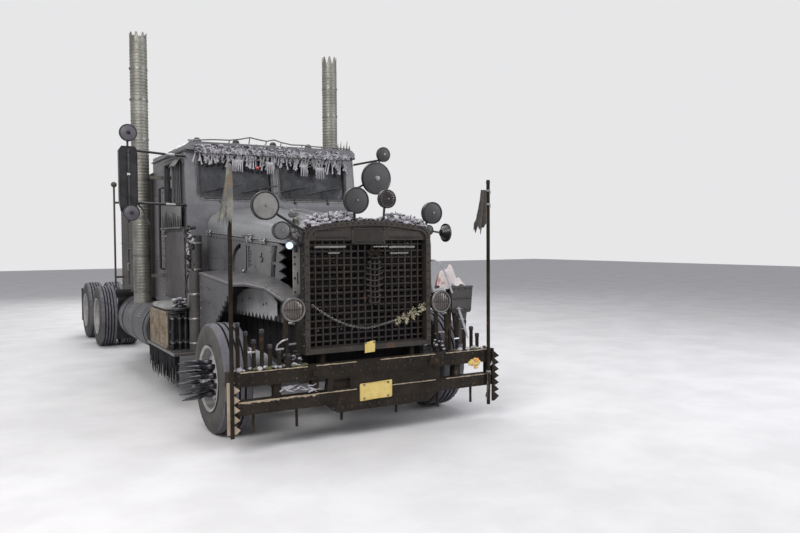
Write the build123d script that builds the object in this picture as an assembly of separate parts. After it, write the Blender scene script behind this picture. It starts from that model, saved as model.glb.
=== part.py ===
from build123d import *
import math
import os

os.makedirs("parts", exist_ok=True)

# Row frame: the truck faces -Y, +X is its own left side, +Z is up.
# Layout figures below count Y from the front axle; Y_MID shifts them to the row frame.
FRONT_Y = -900.0
REAR_Y = 8600.0
Y_MID = 0.5 * (FRONT_Y + REAR_Y)
MIRROR_TIP_X = 1720.0

# Wheels and axles
TYRE_R = 500.0
TYRE_HALF = 140.0
RIM_R = 286.0
RIM_WALL = 14.0
RIM_HALF = 125.0
TRACK_X = 1110.0
DUAL_GAP = 340.0
REAR_AXLE_Y = (6630.0, 7950.0)
RUN_CLEAR = 0.3
KINGPIN_SET = 195.0
KINGPIN_X = TRACK_X - KINGPIN_SET
LUG_N = 10
LUG_CIRCLE_R = 143.0
LUG_REACH = 370.0
SPRING_HALF_Y = 600.0
SPRING_X = 475.0

# Frame
RAIL_X = 430.0
RAIL_WEB = 12.0
RAIL_FLANGE = 85.0
RAIL_Z0 = 700.0
RAIL_Z1 = 970.0
RAIL_Y0 = -640.0

# Bumper
BUMPER_X = 1320.0
BUMPER_Y0 = -860.0
BUMPER_Y1 = -750.0
UPPER_RAIL_Z = (560.0, 680.0)
LOWER_RAIL_Z = (330.0, 440.0)

# Grille and hood
GRILLE_X = 630.0
GRILLE_Y0 = -800.0
GRILLE_Y1 = -650.0
GRILLE_Z0 = 765.0
GRILLE_SHOULDER_Z = 1780.0
GRILLE_CREST_Z = 1915.0
GRILLE_BAND = 45.0
HOOD_Y0 = -640.0
HOOD_Y1 = 1480.0
HOOD_WALL = 25.0
SEAM_GAP = 6.0

# Cab and sleeper
CAB_X = 1020.0
CAB_WALL = 60.0
CAB_Y0 = 1500.0
CAB_Y1 = 3180.0
CAB_Z0 = 1000.0
CAB_Z1 = 2740.0
ROOF_Z = 2830.0
DOOR_Y = (1600.0, 2600.0)
DOOR_Z = (1080.0, 2690.0)
DOOR_GAP = 6.0
SLEEPER_X = 1080.0
SLEEPER_Y = (3200.0, 5150.0)
SLEEPER_Z = (1020.0, 2620.0)
SLEEPER_WALL = 50.0

# Stacks and tanks
STACK_X = 1260.0
STACK_Y = 2750.0
STACK_R = 100.0
STACK_Z = (1000.0, 4240.0)
TANK_X = 955.0
TANK_Z = 675.0
TANK_R = 310.0
TANK_Y = (2560.0, 4450.0)

FIFTH_Y = 7290.0
FIFTH_TOP = 1230.0
FIFTH_PIVOT_Z = 1110.0
FIFTH_PIN_R = 20.0


def block(x0, x1, y0, y1, z0, z1):
    size = (abs(x1 - x0), abs(y1 - y0), abs(z1 - z0))
    mid = ((x0 + x1) / 2, (y0 + y1) / 2, (z0 + z1) / 2)
    return Pos(*mid) * Box(*size)


def rod(p, q, r, r2=None):
    a = Vector(*p)
    b = Vector(*q)
    plane = Plane(origin=a, z_dir=(b - a))
    length = (b - a).length
    low = (Align.CENTER, Align.CENTER, Align.MIN)
    if r2 is None:
        return plane * Cylinder(r, length, align=low)
    return plane * Cone(r, r2, length, align=low)


def fuse(*shapes):
    flat = []
    for s in shapes:
        flat.extend(s if isinstance(s, (list, tuple)) else [s])
    whole = flat[0]
    if len(flat) > 1:
        whole = one(whole.fuse(*flat[1:]))
    return whole


def one(shape):
    # A result that comes back as several solids is kept together
    if isinstance(shape, (list, tuple)):
        solids = [piece for s in shape for piece in s.solids()]
        return solids[0] if len(solids) == 1 else Compound(solids)
    return shape


def cut(shape, *tools):
    flat = []
    for t in tools:
        flat.extend(t if isinstance(t, (list, tuple)) else [t])
    return one(shape.cut(*flat))


def common(shape, tool):
    return one(shape.intersect(tool))


def swing(shape):
    return mirror(shape, about=Plane.YZ)


def spin(points, y, z):
    # Turns a closed profile of (distance along X, radius) about the wheel's own axis
    face = make_face(Plane.XY * Polyline(*points, close=True))
    ring = revolve(face, Axis.X, 360)
    return Pos(0, y, z) * ring


def side_prism(points, x0, x1):
    # A closed outline of (y, z) drawn out along X
    face = make_face(Plane.YZ * Polyline(*points, close=True))
    return Pos(x0, 0, 0) * extrude(face, x1 - x0, dir=(1, 0, 0))


def front_prism(points, y0, y1):
    # A closed outline of (x, z) drawn out along Y
    face = make_face(Plane.XZ * Polyline(*points, close=True))
    return Pos(0, y0, 0) * extrude(face, y1 - y0, dir=(0, 1, 0))


def dish(x, y, z, r, depth):
    # Round housing that faces forward, its back drawn in to a small boss
    plane = Plane(origin=(x, y, z), x_dir=(1, 0, 0), z_dir=(0, 1, 0))
    low = (Align.CENTER, Align.CENTER, Align.MIN)
    rim = plane * Cylinder(r, depth * 0.35, align=low)
    back = plane * Pos(0, 0, depth * 0.35) * Cone(r, r * 0.35, depth * 0.65, align=low)
    return fuse(rim, back)


def solids_of(shape):
    return shape.solids() if hasattr(shape, "solids") else [shape]


def save(name, *shapes):
    solids = []
    for s in shapes:
        solids.extend(solids_of(s))
    moved = [s.moved(Location((0, -Y_MID, 0))) for s in solids]
    label = Compound(children=moved) if len(moved) > 1 else moved[0]
    label.label = name
    export_step(label, f"parts/{name}.step")


# Frame rails and cross members
def rail(side):
    web = block(RAIL_X - RAIL_WEB, RAIL_X, RAIL_Y0, REAR_Y - 40, RAIL_Z0, RAIL_Z1)
    low = block(RAIL_X - RAIL_FLANGE, RAIL_X, RAIL_Y0, REAR_Y - 40, RAIL_Z0, RAIL_Z0 + RAIL_WEB)
    top = block(RAIL_X - RAIL_FLANGE, RAIL_X, RAIL_Y0, REAR_Y - 40, RAIL_Z1 - RAIL_WEB, RAIL_Z1)
    whole = fuse(web, low, top)
    return whole if side > 0 else swing(whole)


# name, y start, length, z low, z high
CROSS_MEMBERS = (
    ("front", -600.0, 80.0, 720.0, 860.0),
    ("cab", 2400.0, 70.0, 720.0, 950.0),
    ("sleeper", 4300.0, 70.0, 720.0, 950.0),
    ("mid", 5700.0, 70.0, 720.0, 950.0),
    ("tandem", 7255.0, 70.0, 720.0, 950.0),
    ("tail", 8330.0, 70.0, 720.0, 950.0),
)
members = []
for _, y0, length, z0, z1 in CROSS_MEMBERS:
    members.append(block(-RAIL_X + 5, RAIL_X - 5, y0, y0 + length, z0, z1))
tail_bar = block(-620, 620, REAR_Y - 40, REAR_Y, 740, 900)
TAIL_BOLT_X = 200.0
TAIL_BOLT_Z = 820.0
TAIL_BOLT_R = 11.0
for sx in (-1, 1):
    for sz in (-50, 50):
        p = (sx * TAIL_BOLT_X, REAR_Y - 60, TAIL_BOLT_Z + sz)
        q = (sx * TAIL_BOLT_X, REAR_Y + 20, TAIL_BOLT_Z + sz)
        tail_bar = cut(tail_bar, rod(p, q, TAIL_BOLT_R))
SHAFT_Y = (2190.0, REAR_AXLE_Y[0] - 330)
SHAFT_Z = (938.0, TYRE_R + 44)
shaft_path = rod((0, SHAFT_Y[0], SHAFT_Z[0]), (0, SHAFT_Y[1], SHAFT_Z[1]), 66)
save("frame", cut(fuse(rail(1), rail(-1), members, tail_bar), shaft_path))

# Front axle beam with its leaf springs and shackles
BEAM_HALF = 55.0
BEAM_END = 70.0
# Half outline of the beam: distance in from the kingpin, height above the wheel's centre
BEAM_TOP = ((0.0, BEAM_END), (155.0, 50.0), (275.0, -10.0))
BEAM_UNDER = ((0.0, -BEAM_END), (135.0, -BEAM_END), (255.0, -130.0))
beam_right = [(KINGPIN_X - dx, TYRE_R + dz) for dx, dz in (*reversed(BEAM_TOP), *BEAM_UNDER)]
beam_left = [(-x, z) for x, z in reversed(beam_right)]
beam = front_prism(beam_right + beam_left, -BEAM_HALF, BEAM_HALF)
front_bits = [beam]
PIN_R = 20.0
SHACKLE = 50.0
for sx in (-1, 1):
    front_bits.append(rod((sx * KINGPIN_X, 0, TYRE_R - BEAM_END), (sx * KINGPIN_X, 0, TYRE_R + BEAM_END), 55))
    leaf = make_face(
        Plane.YZ
        * (
            ThreePointArc((-SPRING_HALF_Y, TYRE_R + 150), (0, TYRE_R + 20), (SPRING_HALF_Y, TYRE_R + 150))
            + Line((SPRING_HALF_Y, TYRE_R + 150), (SPRING_HALF_Y, TYRE_R + 190))
            + ThreePointArc((SPRING_HALF_Y, TYRE_R + 190), (0, TYRE_R + 75), (-SPRING_HALF_Y, TYRE_R + 190))
            + Line((-SPRING_HALF_Y, TYRE_R + 190), (-SPRING_HALF_Y, TYRE_R + 150))
        )
    )
    front_bits.append(Pos(sx * SPRING_X - 40, 0, 0) * extrude(leaf, 80, dir=(1, 0, 0)))
    front_bits.append(block(sx * SPRING_X - 50, sx * SPRING_X + 50, -60, 60, TYRE_R - 20, TYRE_R + 60))
    for y in (-SPRING_HALF_Y, SPRING_HALF_Y - SHACKLE):
        front_bits.append(block(sx * RAIL_X, sx * 515, y, y + SHACKLE, TYRE_R + 155, RAIL_Z0 + 60))
front_axle = fuse(*front_bits)
for sx in (-1, 1):
    bore = rod((sx * KINGPIN_X, 0, TYRE_R - 100), (sx * KINGPIN_X, 0, TYRE_R + 100), PIN_R + RUN_CLEAR)
    front_axle = cut(front_axle, bore)
save("front_axle", front_axle)

# Steering knuckles: yoke, pin, spindle and arm
YOKE_GAP = 6.0
YOKE_END = 115.0


def knuckle():
    z_top = TYRE_R + YOKE_END
    z_low = TYRE_R - YOKE_END
    jaw_top = TYRE_R + BEAM_END + YOKE_GAP
    jaw_low = TYRE_R - BEAM_END - YOKE_GAP
    top = rod((KINGPIN_X, 0, jaw_top), (KINGPIN_X, 0, z_top), 50)
    low = rod((KINGPIN_X, 0, z_low), (KINGPIN_X, 0, jaw_low), 50)
    pin = rod((KINGPIN_X, 0, z_low), (KINGPIN_X, 0, z_top), PIN_R)
    back_x = KINGPIN_X + 55 + YOKE_GAP
    top_arm = block(KINGPIN_X, back_x + 25, -40, 40, jaw_top, z_top)
    low_arm = block(KINGPIN_X, back_x + 25, -40, 40, z_low, jaw_low)
    plate = block(back_x, back_x + 25, -60, 60, z_low, z_top)
    spindle = rod((back_x + 20, 0, TYRE_R), (TRACK_X + 55, 0, TYRE_R), 36)
    arm = block(KINGPIN_X - 20, KINGPIN_X + 20, 30, 230, z_low + 3, z_low + 33)
    return fuse(top, low, pin, top_arm, low_arm, plate, spindle, arm)


save("knuckle_left", knuckle())
save("knuckle_right", swing(knuckle()))

# Tyres
TYRE_SIDE = ((-112.0, RIM_R), (-TYRE_HALF, RIM_R + 104), (-128.0, TYRE_R - 22), (-100.0, TYRE_R))
TYRE_PROFILE = (*TYRE_SIDE, *[(-dx, r) for dx, r in reversed(TYRE_SIDE)])


def tyre(x, y):
    return spin([(x + dx, r) for dx, r in TYRE_PROFILE], y, TYRE_R)


save("front_tyre_left", tyre(TRACK_X, 0))
save("front_tyre_right", tyre(-TRACK_X, 0))


def spikes(face_x, tip_x, y):
    # Long pointed covers over the wheel nuts
    out = []
    for i in range(LUG_N):
        a = 2 * math.pi * (i + 0.5) / LUG_N
        py = y + LUG_CIRCLE_R * math.cos(a)
        pz = TYRE_R + LUG_CIRCLE_R * math.sin(a)
        qy = y + (LUG_CIRCLE_R + 30) * math.cos(a)
        qz = TYRE_R + (LUG_CIRCLE_R + 30) * math.sin(a)
        out.append(rod((face_x, py, pz), (face_x + 60, py, pz), 19))
        out.append(rod((face_x + 50, py, pz), (tip_x, qy, qz), 15, 3))
    return out


def rim_barrel(x_in, y):
    x_out = TRACK_X + RIM_HALF
    r_in = RIM_R - RIM_WALL
    return spin([(x_in, r_in), (x_in, RIM_R), (x_out, RIM_R), (x_out, r_in)], y, TYRE_R)


# Front wheel disc with hub: distance out from the tyre's middle, radius
FRONT_DISC = (
    (30.0, 278.0), (48.0, 278.0), (112.0, 124.0), (112.0, 62.0), (180.0, 50.0), (200.0, 30.0), (200.0, 0.0),
    (65.0, 0.0), (65.0, 36.0 + RUN_CLEAR), (-100.0, 36.0 + RUN_CLEAR),
    (-100.0, 88.0), (78.0, 88.0), (94.0, 118.0),
)


def front_disc():
    barrel = rim_barrel(TRACK_X - RIM_HALF, 0)
    disc = spin([(TRACK_X + dx, r) for dx, r in FRONT_DISC], 0, TYRE_R)
    whole = fuse(barrel, disc)
    holes = []
    for i in range(LUG_N):
        a = 2 * math.pi * i / LUG_N
        p = (TRACK_X - 10, 205 * math.cos(a), TYRE_R + 205 * math.sin(a))
        q = (TRACK_X + 150, 205 * math.cos(a), TYRE_R + 205 * math.sin(a))
        holes.append(rod(p, q, 27))
    whole = cut(whole, holes)
    return fuse(whole, spikes(TRACK_X + 96, TRACK_X + LUG_REACH, 0))


save("front_wheel_left", front_disc())
save("front_wheel_right", swing(front_disc()))


# Rear dual wheels: one hub and drum carries both rims
AXLE_TUBE_R = 60.0


def rear_disc(y):
    barrel = rim_barrel(TRACK_X - DUAL_GAP - RIM_HALF, y)
    back_x = TRACK_X - 135
    face_x = back_x + 20
    plate = spin([(back_x, 0), (back_x, 278), (face_x + 20, 278), (face_x, 120), (face_x, 0)], y, TYRE_R)
    bore_r = AXLE_TUBE_R + RUN_CLEAR
    drum_x = back_x - 275
    drum = spin([(drum_x, bore_r), (drum_x, 170), (back_x, 170), (back_x, bore_r)], y, TYRE_R)
    hub_x = TRACK_X + 10
    cap_x = hub_x + 30
    hub = spin([(back_x - 5, 0), (back_x - 5, 105), (hub_x, 95), (cap_x, 60), (cap_x, 0)], y, TYRE_R)
    holes = []
    for i in range(LUG_N):
        a = 2 * math.pi * i / LUG_N
        p = (back_x - 15, y + 218 * math.cos(a), TYRE_R + 218 * math.sin(a))
        q = (back_x + 55, y + 218 * math.cos(a), TYRE_R + 218 * math.sin(a))
        holes.append(rod(p, q, 27))
    return fuse(barrel, cut(plate, holes), drum, hub, spikes(back_x + 10, TRACK_X + 80, y))


def rear_tyres(y):
    return [tyre(TRACK_X, y), tyre(TRACK_X - DUAL_GAP, y)]


for label, y in (("front", REAR_AXLE_Y[0]), ("back", REAR_AXLE_Y[1])):
    wheel = rear_disc(y)
    tyres = rear_tyres(y)
    save(f"drive_wheel_{label}_left", wheel)
    save(f"drive_wheel_{label}_right", swing(wheel))
    save(f"drive_tyres_{label}_left", *tyres)
    save(f"drive_tyres_{label}_right", *[swing(t) for t in tyres])

# Drive axles
axles = []
for y in REAR_AXLE_Y:
    tube = rod((-TRACK_X + 150, y, TYRE_R), (TRACK_X - 150, y, TYRE_R), AXLE_TUBE_R)
    bowl = spin([(-150, 0), (-150, 130), (-70, 200), (70, 200), (150, 130), (150, 0)], y, TYRE_R)
    nose = rod((0, y - 330, TYRE_R + 40), (0, y, TYRE_R + 40), 95)
    pads = [block(sx * 420, sx * 530, y - 80, y + 80, TYRE_R - 40, TYRE_R + 80) for sx in (-1, 1)]
    axles.append(fuse(tube, bowl, nose, pads))
save("drive_axles", *axles)

# Tandem springs: one leaf pack a side from axle to axle, hung from a centre bracket
tandem = []
PACK_W = 80.0
for sx in (-1, 1):
    y0 = REAR_AXLE_Y[0] - 90
    y1 = REAR_AXLE_Y[1] + 90
    ym = FIFTH_Y
    leaf = make_face(
        Plane.YZ
        * (
            ThreePointArc((y0, TYRE_R + 80), (ym, TYRE_R + 125), (y1, TYRE_R + 80))
            + Line((y1, TYRE_R + 80), (y1, TYRE_R + 110))
            + ThreePointArc((y1, TYRE_R + 110), (ym, TYRE_R + 190), (y0, TYRE_R + 110))
            + Line((y0, TYRE_R + 110), (y0, TYRE_R + 80))
        )
    )
    pack = Pos(sx * (RAIL_X + PACK_W / 2) - PACK_W / 2, 0, 0) * extrude(leaf, PACK_W, dir=(1, 0, 0))
    hanger = block(sx * RAIL_X, sx * 530, ym - 130, ym + 130, TYRE_R + 60, 900)
    tandem.append(fuse(pack, hanger))
save("tandem_springs", *tandem)

# Engine stand-in, one plain block on four feet
engine = block(-290, 290, -60, 1240, 880, 1640)
feet = [block(sx * 280, sx * 420, y, y + 90, RAIL_Z1, 1010) for sx in (-1, 1) for y in (150, 950)]
save("engine", fuse(engine, feet))

# Gearbox and shafts
GEARBOX_Y0 = 1240.0
gearbox = rod((0, GEARBOX_Y0, 960), (0, 2150, 940), 200, 150)
flange = rod((0, 2150, 940), (0, SHAFT_Y[0] + 10, SHAFT_Z[0]), 70)
shaft = rod((0, SHAFT_Y[0], SHAFT_Z[0]), (0, SHAFT_Y[1] + 40, SHAFT_Z[1] - 4), 50)
link = rod((0, REAR_AXLE_Y[0] + 150, TYRE_R + 40), (0, REAR_AXLE_Y[1] - 300, TYRE_R + 40), 45)
front_line = cut(fuse(gearbox, flange, shaft), block(-300, 300, 900, GEARBOX_Y0, 500, 1400), axles)
save("driveline", front_line, cut(link, axles))

# Radiator behind the grille
save("radiator", block(-500, 500, -600, -520, RAIL_Z1, 1740))


def arch(half, z0, shoulder, crest, r):
    # Wide opening shape: straight sides, round shoulders, gently bowed top
    a = (-half, z0)
    b = (-half, shoulder - r * 0.1)
    c = (-half + r, shoulder + r * 0.75)
    m = (-half + 0.29 * r, shoulder + 0.50 * r)
    d = (half - r, shoulder + r * 0.75)
    n = (half - 0.29 * r, shoulder + 0.50 * r)
    e = (half, shoulder - r * 0.1)
    g = (half, z0)
    edges = Line(a, b) + ThreePointArc(b, m, c) + ThreePointArc(c, (0, crest), d)
    edges = edges + ThreePointArc(d, n, e) + Line(e, g) + Line(g, a)
    return make_face(Plane.XZ * edges)


def arch_solid(half, z0, shoulder, crest, r, y0, y1):
    return Pos(0, y0, 0) * extrude(arch(half, z0, shoulder, crest, r), y1 - y0, dir=(0, 1, 0))


# Grille shell
shell = arch_solid(GRILLE_X, GRILLE_Z0, GRILLE_SHOULDER_Z, GRILLE_CREST_Z, 110, GRILLE_Y0, GRILLE_Y1)
hole = arch_solid(
    GRILLE_X - GRILLE_BAND, GRILLE_Z0 + GRILLE_BAND, GRILLE_SHOULDER_Z - 20,
    GRILLE_CREST_Z - GRILLE_BAND, 90, GRILLE_Y0 - 10, GRILLE_Y1 + 10,
)
foot = block(-RAIL_X, RAIL_X, GRILLE_Y1 - 40, RAIL_Y0, GRILLE_Z0, GRILLE_Z0 + GRILLE_BAND)
save("grille_shell", fuse(cut(shell, hole), foot))

# Grille mesh: upright and level bars inside the shell
MESH_BAR = 6.5
MESH_UPRIGHTS = 16
MESH_LEVELS = 17
MESH_PITCH_Z = 60.0
mesh = []
inner = arch_solid(
    GRILLE_X - GRILLE_BAND, GRILLE_Z0 + GRILLE_BAND, GRILLE_SHOULDER_Z - 20,
    GRILLE_CREST_Z - GRILLE_BAND, 90, GRILLE_Y0 + 40, GRILLE_Y0 + 70,
)
inner_hole = arch_solid(
    GRILLE_X - GRILLE_BAND - 15, GRILLE_Z0 + GRILLE_BAND + 15, GRILLE_SHOULDER_Z - 20,
    GRILLE_CREST_Z - GRILLE_BAND - 15, 80, GRILLE_Y0 + 30, GRILLE_Y0 + 80,
)
half_in = GRILLE_X - GRILLE_BAND
bars = []
for i in range(MESH_UPRIGHTS):
    x = -half_in + 2 * half_in * (i + 1) / (MESH_UPRIGHTS + 1)
    bars.append(block(x - MESH_BAR, x + MESH_BAR, GRILLE_Y0 + 42, GRILLE_Y0 + 58, 780, 1900))
for i in range(MESH_LEVELS):
    z = GRILLE_Z0 + GRILLE_BAND + MESH_PITCH_Z * (i + 0.9)
    bars.append(block(-GRILLE_X, GRILLE_X, GRILLE_Y0 + 46, GRILLE_Y0 + 66, z - MESH_BAR, z + MESH_BAR))
grid = common(fuse(*bars), inner)
save("grille_mesh", fuse(cut(inner, inner_hole), grid))


# Hood: one wedge from grille to cowl, opened along the seam and the spine
def hood_section(y, half, z0, shoulder, crest, r):
    return Pos(0, y, 0) * arch(half, z0, shoulder, crest, r)


HOOD_SECTIONS = (
    # y, half width, bottom z, shoulder z, crest z, shoulder radius
    (HOOD_Y0, 615.0, 1000.0, 1745.0, 1885.0, 120.0),
    (HOOD_Y1, 810.0, 1000.0, 1930.0, 2130.0, 170.0),
)
SEAM_Z = (1690.0, 1830.0)
SPINE_HALF = 30.0


def hood_wedge(inset):
    faces = []
    for y, half, z0, shoulder, crest, r in HOOD_SECTIONS:
        low = z0 - 10 if inset else z0
        side_r = r - inset * 0.5
        faces.append(hood_section(y, half - inset, low, shoulder - inset * 0.6, crest - inset, side_r))
    return loft(faces, ruled=True)


outer_hood = hood_wedge(0)
hood_skin = cut(outer_hood, hood_wedge(HOOD_WALL))


def seam_side(gap, up):
    far = 3000 if up else 500
    y0 = HOOD_Y0 - 100
    y1 = HOOD_Y1 + 100
    pts = [(y0, SEAM_Z[0] - 7 + gap), (y1, SEAM_Z[1] + 7 + gap), (y1, far), (y0, far)]
    return side_prism(pts, -2000, 2000)


upper = common(hood_skin, seam_side(SEAM_GAP, True))
lower = common(hood_skin, seam_side(0, False))
HOOD_LID_Y0 = -622.0
hood_left = common(upper, block(SPINE_HALF + SEAM_GAP, 1500, HOOD_LID_Y0, 2000, 500, 2500))
spine = common(upper, block(-SPINE_HALF, SPINE_HALF, -1000, 2000, 500, 2500))
HINGE_X = 33.0
HINGE_RISE = 10.0
HINGE_EYE_R = 9.0
HINGE_ROD_R = 4.5
HOOD_SLOPE = (HOOD_SECTIONS[1][4] - HOOD_SECTIONS[0][4]) / (HOOD_Y1 - HOOD_Y0)


def crest_z(y):
    return HOOD_SECTIONS[0][4] + HOOD_SLOPE * (y - HOOD_Y0)


def hinge_point(y):
    return (HINGE_X, y, crest_z(y) + HINGE_RISE)


eyes = []
rests = []
for y in (-560.0, 120.0, 800.0, 1360.0):
    eye = rod(hinge_point(y), hinge_point(y + 60), HINGE_EYE_R)
    tongue = block(HINGE_X, 75, y + 4, y + 54, crest_z(y + 30) - 12, crest_z(y + 30) + 9)
    eyes.extend([eye, tongue])
    rests.append(block(18, HINGE_X, y + 70, y + 110, crest_z(y + 90) - 14, crest_z(y + 90) + 12))
    rests.append(block(18, HINGE_X, y - 50, y - 10, crest_z(y - 30) - 14, crest_z(y - 30) + 12))
hinge_bore = rod(hinge_point(HOOD_Y0 - 50), hinge_point(HOOD_Y1 + 50), HINGE_ROD_R + RUN_CLEAR)
hinge_rod = rod(hinge_point(HOOD_Y0 + 20), hinge_point(HOOD_Y1 - 10), HINGE_ROD_R)
hood_left = cut(fuse(hood_left, eyes), hinge_bore)
save("hood_left", hood_left)
save("hood_right", swing(hood_left))
spine_post = block(-SPINE_HALF, SPINE_HALF, HOOD_Y1 - 40, CAB_Y0, 2060, 2118)
spine_front = block(-SPINE_HALF, SPINE_HALF, GRILLE_Y1, HOOD_Y0 + 30, 1872, 1884)
hinge_side = fuse(hinge_rod, rests)
save("hood_spine", fuse(spine, spine_post, spine_front, hinge_side, swing(hinge_side)))

# Side panels: a toothed front edge with an open gap ahead of it, a curved vent, slots and a toothed hem
STRIP_Y = -240.0
STRIP_Z = (1290.0, 1715.0)
STRIP_TEETH = 5
STRIP_TOOTH = 110.0
front_gap = [(HOOD_Y0 - 60, STRIP_Z[0]), (HOOD_Y0 - 60, 2000), (STRIP_Y, 2000)]
tooth_z = (STRIP_Z[1] - STRIP_Z[0]) / STRIP_TEETH
for i in range(STRIP_TEETH):
    front_gap.append((STRIP_Y, STRIP_Z[1] - tooth_z * i))
    front_gap.append((STRIP_Y - STRIP_TOOTH, STRIP_Z[1] - tooth_z * (i + 0.5)))
front_gap.append((STRIP_Y, STRIP_Z[0]))
vent_edge = ThreePointArc((825, 1432), (775, 1635), (600, 1715)) + Line((600, 1715), (600, 1672))
vent_edge = vent_edge + ThreePointArc((600, 1672), (722, 1605), (755, 1432)) + Line((755, 1432), (825, 1432))
vent = Pos(-1000, 0, 0) * extrude(make_face(Plane.YZ * vent_edge), 2000, dir=(1, 0, 0))
panel_cuts = [
    side_prism(front_gap, -1000, 1000),
    vent,
    block(-1000, 1000, 382, 424, 1480, 1690),
    side_prism([(-150, 1695), (-215, 1695), (-188, 1545), (-122, 1545)], -1000, 1000),
    side_prism([(-118, 1520), (-184, 1520), (-150, 1360), (-84, 1360)], -1000, 1000),
]
HEM_Y = (-300.0, 500.0)
HEM_TEETH = 10
HEM_TOOTH = 62.0
pitch = (HEM_Y[1] - HEM_Y[0]) / HEM_TEETH
for i in range(HEM_TEETH):
    y = HEM_Y[0] + pitch * i
    notch_edge = [(y + 6, 980), (y + pitch / 2, 1000 + HEM_TOOTH), (y + pitch - 6, 980)]
    panel_cuts.append(side_prism(notch_edge, -1000, 1000))
sides = cut(lower, panel_cuts)
side_back = [block(sx * 790, sx * 815, HOOD_Y1 - 20, CAB_Y0, 1100, 1780) for sx in (-1, 1)]
save("hood_sides", fuse(sides, side_back))

# Front fenders: a shelf that slopes out to a thin lip over the wheel, and a toothed skirt behind the wheel
SHELF_T = 22.0
SKIRT_X = 1000.0
SHELF_SECTIONS = (
    # y, inner x, inner top z, outer x, outer top z
    (1140.0, 740.0, 1442.0, SKIRT_X, 1415.0),
    (50.0, 640.0, 1428.0, SKIRT_X, 1345.0),
    (-150.0, 620.0, 1412.0, 945.0, 1358.0),
    (-425.0, 590.0, 1352.0, 860.0, 1330.0),
    (-640.0, 560.0, 1262.0, 765.0, 1232.0),
)


def shelf_section(y, xi, zi, xo, zo):
    pts = [(xi, zi - SHELF_T), (xo, zo - SHELF_T), (xo, zo), (xi, zi)]
    return Pos(0, y, 0) * make_face(Plane.XZ * Polyline(*pts, close=True))


def fender():
    shelf = loft([shelf_section(*row) for row in SHELF_SECTIONS], ruled=True)
    lip = []
    for a, b in zip(SHELF_SECTIONS, SHELF_SECTIONS[1:]):
        lip.append(rod((a[3] - 4, a[0], a[4] - 14), (b[3] - 4, b[0], b[4] - 14), 14))
    teeth = []
    n = 9
    y0, z0, y1, z1 = 60.0, 1330.0, 700.0, 880.0
    for i in range(n):
        ya = y0 + (y1 - y0) * i / n
        za = z0 + (z1 - z0) * i / n
        yb = y0 + (y1 - y0) * (i + 1) / n
        zb = z0 + (z1 - z0) * (i + 1) / n
        teeth.extend([(ya, za), (yb - 62, zb - 14)])
    outline = [(1140, 1405), *teeth, (y1, z1), (740, 640), (1140, 600)]
    skirt = side_prism(outline, SKIRT_X - 20, SKIRT_X)
    return fuse(shelf, *lip, skirt)


fender_left = cut(fender(), hood_wedge(0))
save("fenders", fender_left, swing(fender_left))

# Bumper: two rails, ties, plates, upright pipes and hanging rods
bump = []
for z0, z1 in (UPPER_RAIL_Z, LOWER_RAIL_Z):
    bump.append(block(-BUMPER_X, BUMPER_X, BUMPER_Y0, BUMPER_Y1, z0, z1))
for x in (-1285, -900, -560, 560, 900, 1285):
    bump.append(block(x - 30, x + 30, BUMPER_Y0 + 20, BUMPER_Y1 - 20, 335, 670))
CENTRE_PLATE = [
    (-440, 620), (-470, 330), (-360, 252), (560, 252), (800, 420), (800, 440), (690, 440), (690, 620),
]
centre = front_prism(CENTRE_PLATE, BUMPER_Y0 + 4, BUMPER_Y1 - 40)
centre = cut(centre, block(-400, -238, BUMPER_Y0 - 20, BUMPER_Y0 + 34, 455, 545))
bump.append(centre)
END_TEETH = 5
left_end = [(-1265, 190), (-1342, 190), (-1342, 612), (-1275, 612)]
right_end = [(1290, 170), (1290, 668)]
for i in range(END_TEETH):
    z = 590 - 80 * i
    left_end.extend([(-1290, z), (-1232, z - 50)])
for i in range(7):
    z = 650 - 66 * i
    right_end.extend([(1318, z), (1372, z - 44)])
right_end.append((1318, 170))
bump.append(front_prism(left_end, BUMPER_Y0 - 14, BUMPER_Y0 + 2))
bump.append(front_prism(right_end, BUMPER_Y0 - 14, BUMPER_Y0 + 2))
for sx in (-1, 1):
    bump.append(block(sx * RAIL_X, sx * 470, BUMPER_Y1 - 10, RAIL_Y0, 565, 760))
    bump.append(block(sx * RAIL_X, sx * 470, RAIL_Y0, -SPRING_HALF_Y - 5, 708, 760))
# x, base z, top z, radius
UPRIGHTS = (
    (-1225.0, 600.0, 1075.0, 17.0), (-1160.0, 600.0, 1000.0, 17.0), (-1090.0, 600.0, 930.0, 17.0),
    (-1020.0, 600.0, 1010.0, 17.0), (-950.0, 600.0, 880.0, 17.0), (-870.0, 600.0, 830.0, 17.0),
    (-790.0, 600.0, 790.0, 17.0), (840.0, 600.0, 1110.0, 17.0), (925.0, 600.0, 1040.0, 17.0),
    (1010.0, 600.0, 970.0, 17.0), (1160.0, 600.0, 830.0, 17.0), (1090.0, 600.0, 900.0, 17.0),
)
for x, z0, z1, r in UPRIGHTS:
    bump.append(rod((x, -800, z0), (x, -800, z1), r))
POLES = ((-1300.0, 160.0, 2340.0), (1240.0, 145.0, 2310.0))
for x, z0, z1 in POLES:
    bump.append(rod((x, BUMPER_Y0 - 16, z0), (x, BUMPER_Y0 - 16, z1), 17))
HANGERS = (-1225.0, -1100.0, -720.0, -300.0, 250.0, 700.0, 1080.0)
for x in HANGERS:
    bump.append(rod((x, -800, 170), (x, -800, 360), 12))
bump.append(block(-600, -560, FRONT_Y, -850, 600, 640))
bump.append(block(560, 600, FRONT_Y, -850, 600, 640))
save("bumper", fuse(*bump))

# Headlamps on the grille's sides
lamps = []
for sx in (-1, 1):
    body = dish(sx * 740, -800, 1160, 95, 110)
    arm = block(sx * GRILLE_X, sx * 700, -740, -700, 1145, 1175)
    lamps.append(fuse(body, arm))
save("headlamps", *lamps)

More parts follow.
